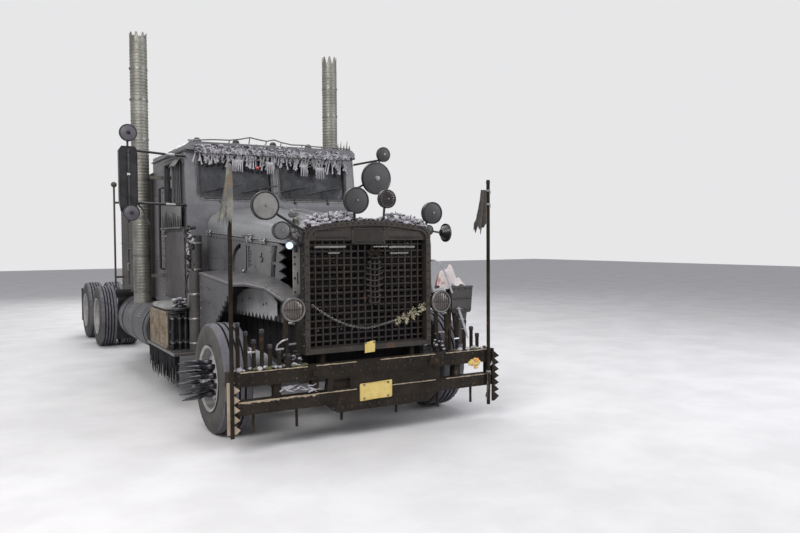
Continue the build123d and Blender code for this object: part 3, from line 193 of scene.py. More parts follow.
M = {
    # The hood lids' grey is set lighter than the hood sides' grey to paint in the lit sheen on the hood's top: painted
    # light.
    "hood": surface("hood_grey_painted_sheen", (0.155, 0.160, 0.168), (0.215, 0.222, 0.232), rough=(0.24, 0.42), scale=2.2,
                    bump=0.07, rust=0.05, dust=0.12, streak=0.3, chips=0.25, coat=0.3),
    "hood_side": surface("hood_side_dark", (0.078, 0.079, 0.083), (0.116, 0.118, 0.124), rough=(0.32, 0.55), scale=3.0,
                         bump=0.12, rust=0.12, dust=0.10, streak=0.4, chips=0.45, coat=0.1, offset=4.0),
    "side_lit": surface("hood_plate_grey", (0.105, 0.106, 0.108), (0.150, 0.151, 0.154), rough=(0.34, 0.55), scale=3.4,
                        bump=0.14, rust=0.10, dust=0.12, streak=0.35, chips=0.4, offset=5.0),
    "cab": surface("cab_dark_grey", (0.040, 0.040, 0.047), (0.066, 0.066, 0.074), rough=(0.34, 0.58), scale=2.6,
                   bump=0.14, rust=0.15, dust=0.12, streak=0.5, chips=0.35, coat=0.1, offset=8.0),
    "cab_pale": surface("cab_front_grey", (0.105, 0.104, 0.116), (0.165, 0.164, 0.178), rough=(0.30, 0.52), scale=2.6,
                        bump=0.12, rust=0.10, dust=0.16, streak=0.45, chips=0.3, coat=0.15, offset=9.0),
    "door": surface("door_plate_brown", (0.034, 0.030, 0.031), (0.060, 0.053, 0.054), rough=(0.30, 0.56), scale=3.4,
                    bump=0.3, rust=0.18, dust=0.10, streak=0.5, chips=0.3, offset=12.0),
    "sleeper": surface("sleeper_brown_grey", (0.046, 0.040, 0.036), (0.074, 0.065, 0.058), rough=(0.45, 0.7),
                       scale=2.0, bump=0.16, rust=0.18, dust=0.08, streak=0.6, chips=0.3, offset=15.0, specular=0.2),
    "fender": surface("fender_dark_grey", (0.030, 0.030, 0.033), (0.052, 0.052, 0.056), rough=(0.30, 0.55), scale=3.0,
                      bump=0.12, rust=0.12, dust=0.16, chips=0.3, offset=18.0, low=0.15),
    "grille": surface("grille_brown_black", (0.021, 0.018, 0.015), (0.038, 0.029, 0.023), metal=0.3,
                      rough=(0.35, 0.62), scale=5.0, bump=0.3, rust=0.30, dust=0.07, chips=0.25, offset=21.0),
    "mesh": surface("mesh_dark_rust", (0.013, 0.010, 0.009), (0.028, 0.020, 0.015), metal=0.4, rough=(0.4, 0.7),
                    scale=6.0, bump=0.2, rust=0.34, dust=0.05, offset=24.0),
    "bumper": surface("bumper_rust_brown", (0.010, 0.0075, 0.0055), (0.021, 0.0155, 0.011), metal=0.1,
                      rough=(0.55, 0.8), scale=4.0, bump=0.45, rust=0.36, dust=0.05, chips=0.3, offset=27.0, low=0.06,
                      dust_tone=(0.16, 0.13, 0.09), specular=0.12),
    "pipe": surface("pipe_dark", (0.018, 0.018, 0.020), (0.038, 0.037, 0.041), metal=0.6, rough=(0.26, 0.48),
                    scale=8.0, bump=0.15, rust=0.16, dust=0.08, offset=30.0),
    "tyre": surface("tyre_wall_dusty", (0.044, 0.043, 0.041), (0.074, 0.072, 0.068), rough=(0.7, 0.92), scale=4.0,
                    grain=120.0, bump=0.35, dust=0.30, offset=33.0, dust_tone=(0.24, 0.24, 0.22), specular=0.3),
    "tread": surface("tyre_tread_violet", (0.080, 0.078, 0.090), (0.135, 0.132, 0.150), rough=(0.66, 0.9), scale=4.0,
                     grain=140.0, bump=0.35, dust=0.24, offset=34.0, dust_tone=(0.26, 0.25, 0.29), specular=0.3),
    # Near-black. In the tyres' grooves it is painted shade in the recesses, the step strips wear it as their own black,
    # and the liners by the engine use it as painted shade.
    "groove": surface("tyre_groove_black", (0.008, 0.008, 0.010), (0.016, 0.016, 0.019), rough=(0.8, 0.95), scale=6.0,
                      grain=120.0, bump=0.3, offset=35.0, specular=0.2),
    # The wheels' grey is lifted well above steel to paint in light on the discs, which the spikes shade: painted light.
    "wheel": surface("wheel_grey_painted_light", (0.40, 0.39, 0.40), (0.58, 0.57, 0.575), metal=0.2, rough=(0.4, 0.66),
                     scale=5.0, bump=0.2, rust=0.20, dust=0.25, streak=0.3, chips=0.3, offset=36.0, low=0.25),
    "rim": surface("rim_pale_steel", (0.30, 0.295, 0.28), (0.42, 0.41, 0.39), metal=0.5, rough=(0.35, 0.6), scale=9.0,
                   bump=0.2, rust=0.2, dust=0.3, offset=39.0),
    "spike": surface("spike_gloss", (0.012, 0.012, 0.017), (0.030, 0.029, 0.040), metal=0.5, rough=(0.07, 0.2),
                     scale=14.0, bump=0.08, dust=0.06, coat=0.7, offset=42.0),
    "stack": surface("stack_weathered", (0.150, 0.148, 0.128), (0.240, 0.236, 0.210), metal=0.65, rough=(0.38, 0.66),
                     scale=3.0, bump=0.3, rust=0.22, dust=0.18, streak=0.6, offset=45.0),
    "steel": surface("worn_steel", (0.14, 0.135, 0.13), (0.23, 0.225, 0.215), metal=0.75, rough=(0.28, 0.5),
                     scale=10.0, bump=0.2, rust=0.25, dust=0.12, offset=48.0),
    "bar_pale": surface("bar_pale", (0.15, 0.145, 0.135), (0.27, 0.26, 0.245), metal=0.1, rough=(0.5, 0.7)),
    "bright": surface("bright_steel", (0.34, 0.335, 0.33), (0.48, 0.475, 0.47), metal=0.85, rough=(0.16, 0.36),
                      scale=12.0, bump=0.12, rust=0.15, dust=0.10, offset=51.0),
    "pale": surface("pale_metal", (0.155, 0.15, 0.145), (0.225, 0.22, 0.21), metal=0.3, rough=(0.4, 0.7), scale=8.0,
                    bump=0.25, rust=0.2, dust=0.16, chips=0.3, offset=54.0),
    "plum": surface("plum_grey", (0.050, 0.045, 0.060), (0.085, 0.078, 0.098), rough=(0.35, 0.6), scale=7.0, bump=0.2,
                    rust=0.1, dust=0.12, offset=55.0),
    "frame": surface("frame_black", (0.026, 0.026, 0.027), (0.046, 0.046, 0.046), rough=(0.45, 0.7), scale=4.0,
                     bump=0.25, rust=0.25, dust=0.22, low=0.2, offset=57.0),
    "iron": surface("cast_iron_grey", (0.070, 0.068, 0.066), (0.12, 0.117, 0.112), metal=0.4, rough=(0.5, 0.78),
                    scale=6.0, bump=0.5, rust=0.3, dust=0.2, offset=60.0),
    "tank": surface("tank_blue_grey", (0.036, 0.037, 0.043), (0.060, 0.062, 0.071), metal=0.35, rough=(0.32, 0.56),
                    scale=3.0, bump=0.14, rust=0.12, dust=0.10, streak=0.4, chips=0.25, low=0.12, offset=63.0,
                    specular=0.25),
    "box": surface("box_black", (0.022, 0.021, 0.021), (0.042, 0.039, 0.037), rough=(0.4, 0.65), scale=5.0, bump=0.25,
                   rust=0.25, dust=0.14, chips=0.3, low=0.12, offset=66.0),
    "plastic": surface("black_plastic", (0.016, 0.016, 0.017), (0.028, 0.028, 0.030), rough=(0.42, 0.6), scale=9.0,
                       grain=200.0, bump=0.15, dust=0.14, offset=69.0),
    "bone": surface("bone_lavender", (0.31, 0.30, 0.335), (0.44, 0.425, 0.455), rough=(0.5, 0.75), scale=16.0,
                    bump=0.4, dust=0.15, offset=72.0),
    "tan": surface("tan_plate", (0.30, 0.235, 0.165), (0.40, 0.32, 0.23), rough=(0.5, 0.75), scale=12.0, bump=0.35,
                   rust=0.3, dust=0.1, chips=0.4, offset=75.0),
    "yellow": surface("yellow_plate", (0.60, 0.44, 0.12), (0.68, 0.52, 0.18), rough=(0.4, 0.6), scale=12.0, bump=0.1,
                      rust=0.14, dust=0.12, offset=78.0),
    "greasy": surface("greasy_plate", (0.050, 0.045, 0.040), (0.10, 0.092, 0.082), metal=0.7, rough=(0.16, 0.6),
                      scale=7.0, bump=0.3, rust=0.2, dust=0.1, offset=81.0),
    "radiator": surface("radiator_fins", (0.022, 0.022, 0.024), (0.040, 0.040, 0.043), metal=0.6, rough=(0.45, 0.7),
                        scale=7.0, bump=0.3, dust=0.08, offset=84.0),
}


def glass(name, tint, clear):
    mat, tree, bsdf = nodes_of(name)
    n = Net(tree)
    film = n.noise(5.0, 6.0, 0.7)
    fine = n.noise(90.0, 3.0, 0.6)
    lighter = tuple(c * 1.6 + 0.02 for c in tint)
    finish(bsdf, n, Base_Color=n.mix(n.span(film, 0.35, 0.75), tint, lighter),
           Roughness=n.span(film, 0.4, 0.8, 0.03, 0.3), Alpha=n.span(film, 0.3, 0.8, *clear),
           Normal=n.bump(fine, 0.05, 0.001), IOR=1.5)
    return mat


M["glass"] = glass("smoked_glass", (0.030, 0.031, 0.036), (0.70, 0.92))
M["side_glass"] = glass("side_glass", (0.012, 0.012, 0.015), (0.78, 0.94))
M["mirror"] = surface("mirror_face", (0.50, 0.50, 0.53), (0.62, 0.62, 0.66), metal=1.0, rough=(0.06, 0.3), scale=6.0,
                      bump=0.04, dust=0.25, offset=87.0)
M["lens"] = surface("old_lens", (0.085, 0.060, 0.050), (0.14, 0.108, 0.088), rough=(0.12, 0.34), scale=26.0,
                    grain=150.0, bump=0.5, rust=0.45, dust=0.2, coat=0.6, offset=90.0)
M["red"] = surface("red_lens", (0.36, 0.02, 0.015), (0.50, 0.045, 0.03), rough=(0.12, 0.3), scale=30.0, grain=190.0,
                   bump=0.3, dust=0.1, coat=0.6, offset=93.0)
M["amber"] = surface("amber_lens", (0.62, 0.22, 0.02), (0.74, 0.32, 0.05), rough=(0.12, 0.3), scale=30.0, grain=190.0,
                     bump=0.3, dust=0.1, coat=0.6, offset=96.0)


def cloth(name, a, b, stain, stain_tone, weave=420.0):
    mat, tree, bsdf = nodes_of(name)
    n = Net(tree)
    broad = n.noise(7.0, 6.0, 0.65)
    fine = n.noise(160.0, 3.0, 0.6)
    colour = n.mix(n.span(broad, 0.32, 0.68), a, b)
    colour = n.mix(n.span(fine, 0.4, 0.7, 0.0, 0.4), colour, tuple(c * 0.6 for c in a))
    patch = n.noise(5.5, 8.0, 0.7, n.scaled((1, 1, 1), 17.0))
    colour = n.mix(n.span(patch, 0.62 - 0.2 * stain, 0.70 - 0.2 * stain), colour, stain_tone)
    warp = n.wave(weave, n.scaled((1, 1, 0.2)), 1.2, "X")
    weft = n.wave(weave, n.scaled((0.2, 0.2, 1)), 1.2, "Z")
    cross = n.math("ADD", n.math("MULTIPLY", warp, 0.5), n.math("MULTIPLY", weft, 0.5))
    under = n.bump(cross, 0.25, 0.0006)
    finish(bsdf, n, Base_Color=colour, Roughness=n.span(fine, 0.3, 0.7, 0.78, 0.95), Specular_IOR_Level=0.25,
           Sheen_Weight=0.25, Normal=n.bump(fine, 0.4, 0.002, under))
    return mat


M["rag_tan"] = cloth("rag_tan", (0.095, 0.098, 0.098), (0.26, 0.25, 0.215), stain=0.5, stain_tone=(0.15, 0.115, 0.085))
M["rag_dark"] = cloth("rag_dark", (0.040, 0.036, 0.032), (0.075, 0.066, 0.058), stain=0.5,
                      stain_tone=(0.12, 0.09, 0.07))
M["rag_pale"] = cloth("rag_pale", (0.52, 0.47, 0.47), (0.66, 0.60, 0.59), stain=0.55, stain_tone=(0.33, 0.15, 0.14))
M["sack"] = cloth("sack_grey", (0.17, 0.17, 0.165), (0.27, 0.27, 0.26), stain=0.4, stain_tone=(0.16, 0.15, 0.15))
M["seat"] = cloth("seat_weave", (0.060, 0.060, 0.070), (0.095, 0.095, 0.105), stain=0.2, stain_tone=(0.03, 0.03, 0.03))
M["wood"] = surface("carved_wood", (0.13, 0.095, 0.055), (0.24, 0.185, 0.115), rough=(0.5, 0.75), scale=9.0,
                    grain=60.0, bump=0.5, streak=0.5, dust=0.25, chips=0.3, offset=99.0)

# What each CAD node is finished in; tyres and wheels are told by name
CAD_FINISH = {}
for key, names in (
        ("hood", "hood_left hood_right hood_spine"),
        ("hood_side", "hood_sides"),
        ("fender", "fenders"),
        ("grille", "grille_shell"),
        ("mesh", "grille_mesh"),
        ("bumper", "bumper"),
        ("pipe", "headlamps spot_lamps mirror_left mirror_right side_mirror_left"),
        ("cab_pale", "cab_front cab_roof"),
        ("cab", "cab_sides cab_back"),
        ("door", "door_left door_right"),
        ("frame", "cab_floor fifth_wheel_base frame"),
        ("glass", "windshield"),
        ("side_glass", "door_glass_left door_glass_right"),
        ("sleeper", "sleeper"),
        ("seat", "seats"),
        ("plastic", "dashboard mud_flaps"),
        ("tank", "fuel_tanks air_tanks"),
        ("box", "side_boxes"),
        ("stack", "exhaust_stacks"),
        ("greasy", "fifth_wheel_plate"),
        ("iron", "front_axle knuckle_left knuckle_right drive_axles tandem_springs driveline engine"),
        ("radiator", "radiator")):
    CAD_FINISH.update({name: key for name in names.split()})
for node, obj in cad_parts.items():
    key = CAD_FINISH.get(node, "tyre" if "tyre" in node else "wheel")
    for s in obj.material_slots:
        s.material = M[key]
    if not obj.material_slots:
        obj.data.materials.append(M[key])


# Mesh building

class Mesh:
    def __init__(self):
        self.v = []
        self.f = []
        self.m = []

    def add(self, verts, faces, mi=0):
        n = len(self.v)
        self.v.extend(tuple(p) for p in verts)
        self.f.extend(tuple(n + i for i in f) for f in faces)
        self.m.extend([mi] * len(faces))

    def tube(self, pts, r, n=10, mi=0, loop=False):
        # A round tube along points, with one radius or one at each point
        pts = [Vector(p) for p in pts]
        count = len(pts)
        radii = r if isinstance(r, (list, tuple)) else [r] * count
        tangents = []
        for i in range(count):
            a = pts[(i - 1) % count] if (loop or i > 0) else pts[i]
            b = pts[(i + 1) % count] if (loop or i < count - 1) else pts[i]
            tangents.append((b - a).normalized())
        side = tangents[0].orthogonal().normalized()
        rings = []
        for i, p in enumerate(pts):
            t = tangents[i]
            side = (side - t * side.dot(t)).normalized()
            up = t.cross(side)
            ring = []
            for k in range(n):
                a = 2 * PI * k / n
                ring.append(p + side * (math.cos(a) * radii[i]) + up * (math.sin(a) * radii[i]))
            rings.append(ring)
        faces = []
        last = count if loop else count - 1
        for i in range(last):
            j = (i + 1) % count
            for k in range(n):
                q = (k + 1) % n
                faces.append((i * n + k, i * n + q, j * n + q, j * n + k))
        if not loop:
            faces.append(tuple(reversed(range(n))))
            faces.append(tuple((count - 1) * n + k for k in range(n)))
        self.add([p for ring in rings for p in ring], faces, mi)

    def lathe(self, origin, axis, profile, n=24, mi=0, wobble=None):
        # profile holds (distance along the axis, radius); mi may give a material for each of its steps
        origin = Vector(origin)
        axis = Vector(axis).normalized()
        side = axis.orthogonal().normalized()
        if abs(axis.z) < 0.5:
            side = Vector(UP) - axis * axis.z
            side.normalize()
        up = axis.cross(side)
        verts = []
        for k in range(n):
            a = 2 * PI * k / n
            d = side * math.cos(a) + up * math.sin(a)
            for i, (h, r) in enumerate(profile):
                if wobble:
                    h, r = wobble(k, i, h, r)
                verts.append(origin + axis * h + d * r)
        m = len(profile)
        faces = []
        for k in range(n):
            q = (k + 1) % n
            for i in range(m - 1):
                faces.append((k * m + i, k * m + i + 1, q * m + i + 1, q * m + i))
        if not callable(mi):
            self.add(verts, faces, mi)
            return
        self.add(verts, faces, 0)
        self.m[-len(faces):] = [mi(i) for _ in range(n) for i in range(m - 1)]

    def plate(self, outline, origin, u, v, t, mi=0):
        # A flat outline of (a, b) along u and v, t thick along u x v
        origin, u, v = Vector(origin), Vector(u), Vector(v)
        w = u.cross(v).normalized() * t
        n = len(outline)
        front = [origin + u * a + v * b for a, b in outline]
        back = [p + w for p in front]
        faces = [tuple(reversed(range(n))), tuple(range(n, 2 * n))]
        for i in range(n):
            j = (i + 1) % n
            faces.append((i, j, n + j, n + i))
        self.add(front + back, faces, mi)

    def box(self, lo, hi, mi=0, c=0.0):
        # A block with its long edges eased by c
        x0, y0, z0 = lo
        x1, y1, z1 = hi
        if not c:
            v = [(x, y, z) for z in (z0, z1) for y in (y0, y1) for x in (x0, x1)]
            f = [(0, 2, 3, 1), (4, 5, 7, 6), (0, 1, 5, 4), (2, 6, 7, 3), (0, 4, 6, 2), (1, 3, 7, 5)]
            self.add(v, f, mi)
            return
        verts = []
        for z, e in ((z0, c), (z0 + c, 0), (z1 - c, 0), (z1, c)):
            a0, a1, b0, b1 = x0 + e, x1 - e, y0 + e, y1 - e
            verts += [(a0 + c, b0, z), (a1 - c, b0, z), (a1, b0 + c, z), (a1, b1 - c, z),
                      (a1 - c, b1, z), (a0 + c, b1, z), (a0, b1 - c, z), (a0, b0 + c, z)]
        faces = [tuple(reversed(range(8))), tuple(range(24, 32))]
        for r in range(3):
            for k in range(8):
                q = (k + 1) % 8
                faces.append((r * 8 + k, r * 8 + q, r * 8 + 8 + q, r * 8 + 8 + k))
        self.add(verts, faces, mi)

    def ball(self, c, r, squash=(1, 1, 1), n=10, mi=0, lump=0.0, rnd=None):
        c = Vector(c)
        rows = max(4, n // 2)
        verts = [c + Vector((0, 0, -r * squash[2]))]
        for i in range(1, rows):
            a = PI * i / rows - PI / 2
            for k in range(n):
                b = 2 * PI * k / n
                g = 1.0 + (rnd.uniform(-lump, lump) if lump else 0.0)
                verts.append(c + Vector((math.cos(a) * math.cos(b) * squash[0] * r * g,
                                         math.cos(a) * math.sin(b) * squash[1] * r * g,
                                         math.sin(a) * squash[2] * r * g)))
        verts.append(c + Vector((0, 0, r * squash[2])))
        faces = [(0, 1 + (k + 1) % n, 1 + k) for k in range(n)]
        for i in range(rows - 2):
            for k in range(n):
                q = (k + 1) % n
                faces.append((1 + i * n + k, 1 + i * n + q, 1 + (i + 1) * n + q, 1 + (i + 1) * n + k))
        top = len(verts) - 1
        base = 1 + (rows - 2) * n
        faces += [(base + k, base + (k + 1) % n, top) for k in range(n)]
        self.add(verts, faces, mi)

    def bolt(self, p, axis, r=0.009, h=0.006, mi=0):
        # Hexagon head with a chamfered top on a washer
        self.lathe(p, axis, [(0, r * 1.5), (h * 0.3, r * 1.5), (h * 0.3, r)], 12, mi)
        self.lathe(p, axis, [(h * 0.3, r), (h * 0.85, r), (h, r * 0.78), (h, 0.0)], 6, mi)

    def rivet(self, p, axis, r=0.007, mi=0):
        self.lathe(p, axis, [(0, r), (r * 0.35, r * 0.82), (r * 0.55, r * 0.4), (r * 0.6, 0.0)], 8, mi)

    def sheet(self, grid, mi, t):
        # A grid of points, given a thickness along its own normals
        rows = len(grid)
        cols = len(grid[0])
        pts = [[Vector(p) for p in row] for row in grid]
        faces = []
        for i in range(rows - 1):
            for j in range(cols - 1):
                faces.append((i * cols + j, i * cols + j + 1, (i + 1) * cols + j + 1, (i + 1) * cols + j))
        flat = [p for row in pts for p in row]
        back = []
        for i in range(rows):
            for j in range(cols):
                a = pts[min(i + 1, rows - 1)][j] - pts[max(i - 1, 0)][j]
                b = pts[i][min(j + 1, cols - 1)] - pts[i][max(j - 1, 0)]
                n = a.cross(b)
                n = n.normalized() if n.length > 1e-9 else Vector(UP)
                back.append(pts[i][j] + n * t)
        n = rows * cols
        faces += [tuple(n + k for k in reversed(f)) for f in faces]
        rim = list(range(cols)) + [i * cols + cols - 1 for i in range(1, rows)]
        rim += [(rows - 1) * cols + j for j in range(cols - 2, -1, -1)]
        rim += [i * cols for i in range(rows - 2, 0, -1)]
        for k in range(len(rim)):
            a, b = rim[k], rim[(k + 1) % len(rim)]
            faces.append((b, a, n + a, n + b))
        self.add(flat + back, faces, mi)

    def slab(self, sx, xs, ys, zs, mi=0, c=0.0):
        # A box in truck mm, put on side sx
        x0, x1 = sorted(sx * x for x in xs)
        self.box(T(x0, ys[0], zs[0]), T(x1, ys[1], zs[1]), mi, c)

    def swung(self):
        # Adds the mirror image about the truck's middle
        n = len(self.v)
        self.v += [(-x, y, z) for x, y, z in self.v]
        self.f += [tuple(n + i for i in reversed(f)) for f in self.f]
        self.m *= 2
        return self


def build(mesh, name, body, mats, angle=38.0, bevel=0.0):
    # One piece that rides on a body, sharp where its faces meet at more than angle
    data = bpy.data.meshes.new(name)
    data.from_pydata(mesh.v, [], mesh.f)
    for key in mats:
        data.materials.append(M[key])
    data.polygons.foreach_set("material_index", mesh.m)
    data.validate()
    data.update()
    data.polygons.foreach_set("use_smooth", [True] * len(data.polygons))
    data.set_sharp_from_angle(angle=math.radians(angle))
    obj = bpy.data.objects.new(name, data)
    bpy.context.scene.collection.objects.link(obj)
    if bevel:
        mod = obj.modifiers.new("Ease", "BEVEL")
        mod.width = bevel
        mod.segments = 2
        mod.limit_method = "ANGLE"
        mod.angle_limit = math.radians(40)
    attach(obj, body)
    return obj


# Faces of a block whose foot and then top run the same way round
BLOCK = [(3, 2, 1, 0), (4, 5, 6, 7), (0, 1, 5, 4), (1, 2, 6, 5), (2, 3, 7, 6), (3, 0, 4, 7)]


def prism_faces(n):
    # Faces between an outline of n points and its copy that follows it
    return ([tuple(range(n)), tuple(2 * n - 1 - k for k in range(n))]
            + [(k, n + k, n + (k + 1) % n, (k + 1) % n) for k in range(n)])


# Camera fitted to the photograph
cam_data = bpy.data.cameras.new("camera")
cam_data.sensor_width = 36.0
cam_data.lens = 33.52
cam = bpy.data.objects.new("camera", cam_data)
bpy.context.scene.collection.objects.link(cam)
EYE = (-3.103, -10.500, 1.743)
YAW, PITCH, ROLL = 0.527, -0.036, -0.006
ahead = Vector((math.sin(YAW) * math.cos(PITCH), math.cos(YAW) * math.cos(PITCH), math.sin(PITCH)))
right = Vector((math.cos(YAW), -math.sin(YAW), 0.0))
above = right.cross(ahead)
r2 = right * math.cos(ROLL) + above * math.sin(ROLL)
u2 = -right * math.sin(ROLL) + above * math.cos(ROLL)
cam.matrix_world = Matrix.Translation(EYE) @ Matrix((r2, u2, -ahead)).transposed().to_4x4()
bpy.context.scene.camera = cam

# Floor, world and lamps
floor = bpy.data.meshes.new("floor")
floor.from_pydata([(-40, -40, 0), (40, -40, 0), (40, 40, 0), (-40, 40, 0)], [], [(0, 1, 2, 3)])
floor_mat, tree, bsdf = nodes_of("floor_pale")
net = Net(tree)
tone = net.mix(net.span(net.noise(1.4, 5.0, 0.6), 0.3, 0.7), (0.62, 0.61, 0.62), (0.70, 0.69, 0.70))
finish(bsdf, net, Base_Color=tone, Roughness=0.85)
floor.materials.append(floor_mat)
floor_obj = bpy.data.objects.new("floor", floor)
bpy.context.scene.collection.objects.link(floor_obj)

world = bpy.data.worlds.new("studio")
bpy.context.scene.world = world
world.use_nodes = True
wt = world.node_tree
wt.nodes.clear()
w_out = wt.nodes.new("ShaderNodeOutputWorld")
w_path = wt.nodes.new("ShaderNodeLightPath")
w_mix = wt.nodes.new("ShaderNodeMixShader")
for i, (tint, strength) in enumerate((((0.93, 0.95, 1.0, 1.0), 0.42), ((0.80, 0.80, 0.81, 1.0), 1.0))):
    # The light on the truck first, then the backdrop that the camera, gloss and glass show
    shade = wt.nodes.new("ShaderNodeBackground")
    shade.inputs["Color"].default_value = tint
    shade.inputs["Strength"].default_value = strength
    wt.links.new(shade.outputs[0], w_mix.inputs[1 + i])
seen = w_path.outputs["Is Camera Ray"]
for ray in ("Is Glossy Ray", "Is Transmission Ray"):
    either = wt.nodes.new("ShaderNodeMath")
    either.operation = "ADD"
    either.use_clamp = True
    wt.links.new(seen, either.inputs[0])
    wt.links.new(w_path.outputs[ray], either.inputs[1])
    seen = either.outputs[0]
wt.links.new(seen, w_mix.inputs[0])
wt.links.new(w_mix.outputs[0], w_out.inputs[0])


def lamp(name, place, aim, size, power, tint=(1, 1, 1)):
    data = bpy.data.lights.new(name, "AREA")
    data.shape = "RECTANGLE"
    data.size, data.size_y = size
    data.energy = power
    data.color = tint
    obj = bpy.data.objects.new(name, data)
    obj.location = place
    obj.rotation_mode = "QUATERNION"
    obj.rotation_quaternion = (Vector(aim) - Vector(place)).to_track_quat("-Z", "Y")
    bpy.context.scene.collection.objects.link(obj)


lamp("key", (-7.0, -9.5, 8.0), (0, -2.0, 1.2), (6.0, 4.0), 900.0, (1.0, 0.98, 0.95))
lamp("fill", (8.0, -9.0, 5.0), (0, -2.0, 1.0), (6.0, 5.0), 420.0, (0.94, 0.96, 1.0))
lamp("top", (0.0, 0.5, 9.0), (0, 0.0, 0.0), (6.0, 10.0), 520.0)
lamp("back", (3.0, 11.0, 6.0), (0, 3.0, 1.5), (7.0, 5.0), 420.0)


# Tyres with ribs at the front and lugs at the back

def tyre_profile(grooves):
    # The section from bead to bead, and where its tread starts and how many points that has
    pts = [(-0.111, 0.2865), (-0.118, 0.296), (-0.127, 0.318), (-0.132, 0.345), (-0.1345, 0.352), (-0.1385, 0.385),
           (-0.1395, 0.395), (-0.137, 0.43), (-0.1345, 0.437), (-0.131, 0.462), (-0.126, 0.479), (-0.113, 0.4925)]
    tread = []
    cuts = {3: (-0.052, 0.0, 0.052), 4: (-0.066, -0.022, 0.022, 0.066)}[grooves]

    def crown(x):
        return 0.4995 - 0.0055 * (x / 0.11) ** 2

    tread.append((-0.106, crown(-0.106)))
    for c in cuts:
        for dx, deep in ((-0.009, 0.0), (-0.0065, 0.015), (0.0065, 0.015), (0.009, 0.0)):
            tread.append((c + dx, crown(c + dx) - deep))
    tread.append((0.106, crown(0.106)))
    far_side = [(-x, r) for x, r in reversed(pts)]
    return pts + tread + far_side, len(pts), len(tread)


def make_tyre(mesh, x, y, kind):
    profile, first, count = tyre_profile(3 if kind == "rib" else 4)
    n = 150 if kind == "rib" else 144

    def wobble(k, i, h, r):
        # Small cuts across the ribs, deep notches in the shoulders of the lug tyre
        if kind == "rib":
            if first - 2 <= i <= first or first + count - 1 <= i <= first + count + 1:
                if k % 3 == 0:
                    r -= 0.005
            elif first <= i < first + count and k % 5 == 0 and r > 0.49:
                r -= 0.0025
        else:
            inside = first + 2 <= i < first + count - 2
            if not inside and first - 3 <= i < first + count + 3 and k % 4 in (0, 1) and r > 0.47:
                r -= 0.006
            elif inside and (k + i) % 6 == 0 and r > 0.488:
                r -= 0.011
        return h, r

    def tone(i):
        # Groove walls and floors get the near-black groove finish, painted shade in the recesses. Ribs and shoulders
        # get the paler tread, and the rest of the wall gets the tyre finish.
        if not first - 2 <= i < first + count + 1:
            return 0
        return 2 if first <= i < first + count - 1 and (i - first) % 4 else 1

    mesh.lathe(T(x, y, WHEEL_Z), (1, 0, 0), profile, n, tone, wobble)


RUBBER = ["tyre", "tread", "groove"]
for side, sx in SIDES.items():
    m = Mesh()
    make_tyre(m, sx * WHEEL_X, 0, "rib")
    o = build(m, f"tread_front_{side}", f"front_wheel_{side}", RUBBER, 30)
    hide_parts(f"front_tyre_{side}")
    for label, y in DRIVE_AXLES:
        m = Mesh()
        make_tyre(m, sx * WHEEL_X, y, "lug")
        make_tyre(m, sx * DUAL_X, y, "lug")
        o = build(m, f"tread_drive_{label}_{side}", f"drive_wheel_{label}_{side}", RUBBER, 30)
        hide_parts(f"drive_tyres_{label}_{side}")

rnd = random.Random(7)    # every later random draw comes from it, in order


def hood_half(y):
    # Half the hood's width
    return 615.0 + 195.0 * (y + 640.0) / 2120.0


def seam_z(y):
    # Height of the seam between the lids and the hood's sides
    return 1690.0 + 140.0 * (y + 640.0) / 2120.0


def HS(y, z, out):
    # A point out mm off the hood's right side wall
    return T(-(hood_half(y) + out), y, z)


HOOD_N = Vector((-0.9958, -0.0916, 0.0))


def side_plate(mesh, outline, out, t, mi=0):
    # A closed outline of (y, z) laid on the right hood side
    n = len(outline)
    low = [HS(y, z, out) for y, z in outline]
    top = [p + HOOD_N * t for p in low]
    faces = [tuple(range(n)), tuple(reversed(range(n, 2 * n)))]
    for i in range(n):
        j = (i + 1) % n
        faces.append((j, i, n + i, n + j))
    mesh.add(low + top, faces, mi)


def arc_points(cx, cy, r, a0, a1, n):
    out = []
    for i in range(n + 1):
        a = math.radians(a0 + (a1 - a0) * i / n)
        out.append((cx + r * math.cos(a), cy + r * math.sin(a)))
    return out


# Hood sides: raised plates, latches, rivets, hanging beads
m = Mesh()
rear_panel = [(1440, 1432), (1450, 1470), (1448, 1715), (1420, 1742), (1030, 1716), (1004, 1690), (1000, 1450),
              (1020, 1428)]
side_plate(m, rear_panel, 0.5, 0.007, 0)
inner = [(1415, 1560), (1415, 1700), (1395, 1712), (1050, 1690), (1034, 1672), (1034, 1560)]
side_plate(m, inner, 7.0, 0.004, 0)
front_plate = [(252, 1712), (-112, 1690), (-118, 1640), (-92, 1400), (-66, 1372), (30, 1358), (110, 1392), (175, 1438),
               (222, 1492), (240, 1560)]
side_plate(m, front_plate, 0.5, 0.008, 1)
m.tube([HS(y, 1424 + 4 * math.sin(y / 60.0), 9) for y in range(1005, 1445, 22)], 0.008, 8, 2)
for y, z in ((64, 1545), (84, 1588)):
    m.tube([HS(y + dy, z + dz, 14) for dy, dz in ((0, 40), (2, 15), (10, 0), (26, -4), (36, 6))], 0.005, 6, 3)
for y in range(-210, 1440, 75):
    m.rivet(HS(y, seam_z(y) - 34, 3), HOOD_N, 0.008, 2)
for z in range(1040, 1680, 70):
    m.rivet(HS(1462, z, 2), HOOD_N, 0.008, 2)
for z in (1515, 1548, 1580, 1612, 1642):
    m.rivet(HS(352, z, 2), HOOD_N, 0.011, 3)
for y, z in rear_panel[1:6:2] + front_plate[0:9:2]:
    m.rivet(HS(y * 0.97 + 12, z * 0.995 + 6, 9), HOOD_N, 0.007, 2)
m.tube([HS(458, 1700, 4), HS(452, 1560, 4), HS(462, 1450, 4)], 0.004, 6, 2)
for i, (y, z, r) in enumerate(((500, 1442, 17), (478, 1418, 9), (462, 1396, 12), (440, 1378, 8), (415, 1362, 14),
                               (392, 1346, 9), (372, 1362, 12))):
    m.ball(HS(y, z, 16), r / 1000.0, (0.8, 1, 1), 10, 3 if i else 4)
